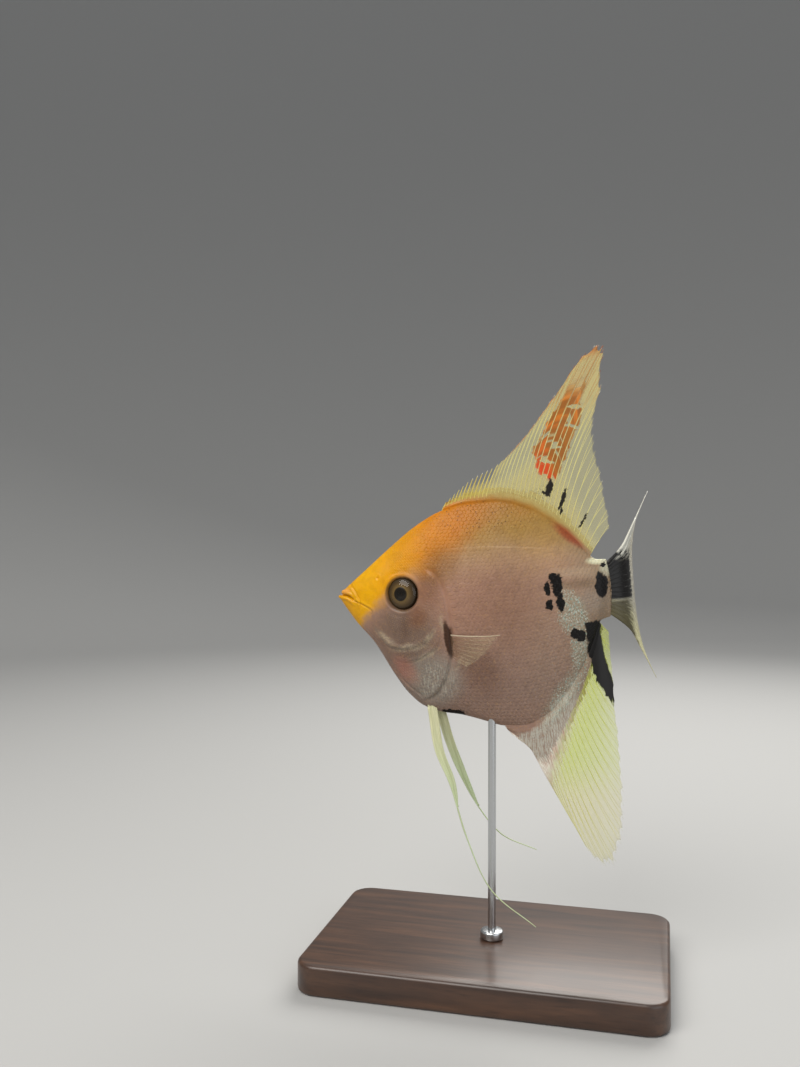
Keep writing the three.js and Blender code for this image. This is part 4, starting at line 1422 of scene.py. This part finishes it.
def paintAnal(place, q, share, onRay):
    x, z = backAndUp(place)
    colour = mixed(ease(z, -62, -46), tone(206, 200, 132), tone(188, 200, 48))
    cover = raised(0.2, ease(share, 0.95, 0.25), 0.18)
    streak = dashes(q, share, 110, 11, 5.0)
    broad = dashes(q, share, 22, 3, 4.0)
    # the streaky sheath along the front, ahead of a slanting line
    ahead = minus(times(minus(x, 66.0), 0.9375), times(minus(z, -29.0), 0.3516))
    foot = ease(nudged(ahead, streak, 8.0), 2.4, -2.4)
    foot = times(foot, ease(raised(z, broad, 16.0), -62, -44))
    streaky = mixed(ease(streak, 0.4, 0.62), tone(190, 170, 154), tone(228, 226, 214))
    streaky = mixed(ease(broad, 0.5, 0.66, 0.0, 0.5), streaky, tone(186, 148, 128))
    colour = mixed(foot, colour, streaky)
    cover = most(cover, times(foot, 0.93))
    # the black wedge along the rear
    wedge = minus(x, curveOf(z, marks["wedge"]))
    wedge = ease(nudged(wedge, dashes(q, share, 60, 14, 9.0), 3.2), -0.15, 0.35)
    margin = nudged(minus(x, curveOf(z, marks["wedgeRear"])), streak, 0.8)
    wedge = times(wedge, ease(z, -35.5, -34.2), ease(margin, 0.3, -0.1))
    colour = mixed(wedge, colour, blackTone)
    cover = most(cover, wedge)
    if onRay:
        colour = laid(colour, minus(1.0, most(wedge, foot)), 0.7, tone(222, 220, 132))
        colour = mixed(ease(share, 0.9, 0.98), colour, tone(232, 230, 214))
        cover = most(wedge, 0.48)
    return colour, cover


def paintTail(place, q, share, onRay):
    z = backAndUp(place)[1]
    colour = mixed(ease(q, 0.1, 0.42), tone(222, 216, 168), tone(196, 190, 170))
    streak = dashes(q, share, 50, 7, 2.0)
    out = nudged(share, streak, 0.5)
    band = times(ease(out, 0.5, 0.42), ease(z, 8.4, 7.0), ease(z, -6.2, -5.2))
    tips = most(ease(q, 0.86, 0.94), ease(q, 0.16, 0.04))
    colour = mixed(ease(q, 0.8, 0.94), colour, tone(206, 204, 192))
    cover = raised(0.5, tips, 0.4)
    shaded = times(ease(z, -5.0, -6.6), ease(out, 0.52, 0.2))
    colour = laid(colour, shaded, 0.92, tone(52, 44, 20))
    cover = raised(cover, shaded, 0.3)
    white = times(ease(z, 4.2, 7.2), ease(streak, 0.46, 0.56))
    band = times(band, minus(1.0, white))
    colour = mixed(band, colour, tone(15, 13, 12))
    return colour, 0.96 if onRay else most(cover, times(band, 0.99))


def paintPectoral(place, q, share, onRay):
    colour = mixed(ease(share, 0.0, 0.6), tone(150, 120, 92), tone(190, 172, 138))
    # painted highlight along the top ray's leading edge, also made less clear
    topRayHighlight = ease(q, 0.1, 0.0)
    colour = laid(colour, topRayHighlight, 0.6, tone(226, 214, 190))
    return colour, raised(0.26, topRayHighlight, 0.5) if onRay else 0.09


def paintPelvic(place, q, share, onRay):
    colour = mixed(ease(share, 0.0, 0.5), tone(204, 202, 164), tone(186, 202, 160))
    streak = ease(dashes(q, share, 12, 6, 7.0), 0.4, 0.6)
    return laid(colour, streak, 0.4, tone(168, 172, 134)), 0.97 if onRay else 0.86


def finLooks(name, paint, rough=0.4):
    looks = {}
    for part in ("web", "rays"):
        material = newMaterial(name + part.title())
        q, share = finCoords()
        colour, cover = paint(fishPlace(), q, share, part == "rays")
        principled({
            "Base Color": colour, "Roughness": rough, "Alpha": cover, "Specular IOR Level": 0.3,
            "Coat Weight": 0.05, "Coat Roughness": 0.25,
        })
        looks[part] = material
    return looks


# eyes

eyeShape = {
    "grid": (64, 40), "radius": 4.58, "depth": 1.85, "flat": 0.62, "lens": 0.12, "pupil": (0.46, 0.36),
    "dish": (-0.14, 0.68, 0.18), "cornea": 0.55, "gap": 0.03, "back": 0.6,
}
iris = [  # distance from the middle of the pupil, colour
    (0.0, tone(6, 5, 4)), (0.38, tone(8, 7, 6)), (0.41, tone(30, 22, 12)), (0.45, tone(104, 84, 46)),
    (0.58, tone(92, 72, 40)), (0.7, tone(70, 54, 30)), (0.84, tone(52, 40, 24)), (1.0, tone(26, 20, 12)),
]


def eyeMaterials():
    ball = newMaterial("eyeball")
    uv = put("ShaderNodeUVMap", uv_map="eyeMap").outputs["UV"]
    away = vectorMath("SUBTRACT", uv, (0.5, 0.5, 0))[0]
    rough = noise(uv, 26.0, 4.0)[0]
    far = nudged(vectorMath("LENGTH", away)["Value"], rough, 0.012)
    colour = ramp(times(far, 2.0), iris)
    colour = laid(colour, ease(rough, 0.42, 0.68), 0.35, tone(60, 46, 24))
    principled({
        "Base Color": colour, "Roughness": 0.5, "Specular IOR Level": 0.1, "Coat Weight": 0.08,
        "Coat Roughness": 0.1,
    })
    clear = newMaterial("cornea")
    principled({"Base Color": (0.95, 0.97, 1.0, 1), "Roughness": 0.03, "Metallic": 1.0, "Alpha": 0.016})
    return ball, clear


def makeEye(name, side, ballMaterial, corneaMaterial):
    turn = side * math.radians(eye["turn"])
    cos, sin = math.cos(turn), math.sin(turn)
    for part, material in (("Ball", ballMaterial), ("Cornea", corneaMaterial)):
        piece = sphere(name + part, *eyeShape["grid"])
        ball = vertsOf(piece)
        flat, up = ball[:, :2], ball[:, 2]
        far = np.minimum(np.hypot(flat[:, 0], flat[:, 1]), 1)
        out = eyeShape["depth"] * lerp(1 - far**2, np.sqrt(1 - far**10), eyeShape["flat"])
        if part == "Ball":  # the iris is a flatter disc about the bulging pupil
            out += eyeShape["lens"] * fade(*eyeShape["pupil"], far) + ring(far, *eyeShape["dish"])
        else:
            out += eyeShape["gap"] + eyeShape["cornea"] * (1 - far**2)
        out = np.where(up > 0, out, up * eye["depth"] * eyeShape["back"])
        out = side * np.where(np.abs(up) < 1e-6, 0, out)
        across, high = flat[:, 0] * eyeShape["radius"], flat[:, 1] * eyeShape["radius"]
        x = across * cos - out * sin + eye["x"]
        y = across * sin + out * cos + side * eye["y"]
        setVerts(piece, placed(bent(np.stack([x, y, high + eye["z"]], -1))))
        setMap(piece, "eyeMap", flat * 0.5 + 0.5)
        outward(piece)
        smooth(piece)
        finished(piece, material, "eye", name)


# stand

stand = {  # millimetres; angles in degrees
    "size": (96, 60, 8), "corner": 6, "edge": 1.0, "rod": 1.1, "rodFoot": 5, "rodTop": 73.9, "collar": 3.2,
    "collarTop": 10.4, "collarEdge": 0.5, "gap": 0.02, "sharp": 50, "smoothTo": 35,
}


def standMaterials():
    wood = newMaterial("standWood")
    here = objectPlace()
    grain = noise(mapped(here, scale=(7, 90, 60)), 4.0, 6.0, 0.6)[0]
    pores = noise(mapped(here, scale=(60, 900, 700)), 2.0, 3.0)[0]
    colour = ramp(grain, [(0.3, tone(46, 30, 22)), (0.5, tone(66, 44, 31)), (0.7, tone(86, 58, 40))])
    colour = laid(colour, ease(pores, 0.52, 0.7), 0.4, tone(30, 20, 15))
    bump = put("ShaderNodeBump", {"Height": pores, "Strength": 0.15, "Distance": 0.0001})
    principled({
        "Base Color": colour, "Roughness": 0.42, "Coat Weight": 0.3, "Coat Roughness": 0.2,
        "Normal": bump.outputs["Normal"],
    })
    steel = newMaterial("standSteel")
    principled({"Base Color": (0.56, 0.57, 0.58, 1), "Metallic": 1.0, "Roughness": 0.24})
    return wood, steel


def beveled(piece, width):
    angle = math.radians(stand["sharp"])
    applied(piece, "BEVEL", width=width / 1000, segments=3, limit_method="ANGLE", angle_limit=angle)


def makeBase(material):
    deselectAll()
    bpy.ops.mesh.primitive_cube_add(size=1, location=(0, 0, stand["size"][2] / 2000))
    base = bpy.context.object
    base.name = "standBase"
    base.scale = [side / 1000 for side in stand["size"]]
    bpy.ops.object.transform_apply(location=True, rotation=False, scale=True)
    bpy.ops.object.mode_set(mode="EDIT")
    bpy.ops.mesh.select_mode(type="EDGE")
    bpy.ops.mesh.select_all(action="DESELECT")
    bpy.ops.object.mode_set(mode="OBJECT")
    for edge in base.data.edges:  # the four upright corners
        low, high = (base.data.vertices[i].co.z for i in edge.vertices)
        edge.select = abs(low - high) > 0.001
    bpy.ops.object.mode_set(mode="EDIT")
    bpy.ops.mesh.bevel(offset=stand["corner"] / 1000, segments=10, affect="EDGES")
    bpy.ops.object.mode_set(mode="OBJECT")
    beveled(base, stand["edge"])
    bpy.ops.object.shade_smooth_by_angle(angle=math.radians(stand["smoothTo"]))
    finished(base, material, "stand_wood", "stand_base")


def makePost(name, radius, low, high, sides, edge, material, node):  # the rod and its collar
    bpy.ops.mesh.primitive_cylinder_add(
        vertices=sides, radius=radius / 1000, depth=(high - low) / 1000, location=(0, 0, (high + low) / 2000),
    )
    post = bpy.context.object
    post.name = name
    bpy.ops.object.transform_apply(location=True, rotation=False, scale=True)
    if edge:
        beveled(post, edge)
    bpy.ops.object.shade_smooth_by_angle(angle=math.radians(stand["smoothTo"]))
    finished(post, material, "stand_steel", node)


def makeStand():
    wood, steel = standMaterials()
    makeBase(wood)
    top = stand["size"][2]
    makePost("standRod", stand["rod"], top - stand["rodFoot"], stand["rodTop"], 48, 0, steel, "stand_rod")
    collarFoot = top + stand["gap"]
    edge = stand["collarEdge"]
    makePost("standCollar", stand["collar"], collarFoot, stand["collarTop"], 64, edge, steel, "stand_collar")


# everything together

addCamera()
addLamps()
addRoom()
skinLook = skinMaterial("fishSkin", 0.18)
makeSkin(skinLook)
print("skin made")
arcs = arcTable()
scaleLook = skinMaterial("fishScales", 0.06)
makeScales("scalesLeft", -1, arcs, scaleLook)
makeScales("scalesRight", 1, arcs, scaleLook)
print("scales made")

medianFins = {"dorsal": (dorsal, paintDorsal), "anal": (anal, paintAnal)}
for name, (fin, paint) in medianFins.items():
    nodes = (name + "_fin_spiny", name + "_fin_soft")
    makeFin(name, lambda q, share: medianPlace(fin, q, share), fin, finLooks(name, paint), *nodes)
makeFin("tail", lambda q, share: tailPlace(tail, q, share), tail, finLooks("tail", paintTail), "tail_fin")
pectoralLooks = finLooks("pectoral", paintPectoral)
for side, label in ((-1, "Left"), (1, "Right")):
    makeFin(
        "pectoral" + label, lambda q, share: pectoralPlace(pectoral, q, share, side), pectoral, pectoralLooks,
        "pectoral_fin_" + label.lower(),
    )
pelvicLooks = finLooks("pelvic", paintPelvic, 0.5)
for label in ("Left", "Right"):
    makePelvic("pelvic" + label, pelvic[label.lower()], pelvicLooks, "pelvic_fin_" + label.lower())
sheathLooks = {"skin": skinLook, "scales": scaleLook}
for name, (fin, _) in medianFins.items():
    makeSheath(name, lambda q, share: medianPlace(fin, q, share), fin, sheathLooks)
print("fins made")

ballLook, corneaLook = eyeMaterials()
makeEye("eye_left", -1, ballLook, corneaLook)
makeEye("eye_right", 1, ballLook, corneaLook)
makeStand()
print("eyes and stand made")
print("scene ready")
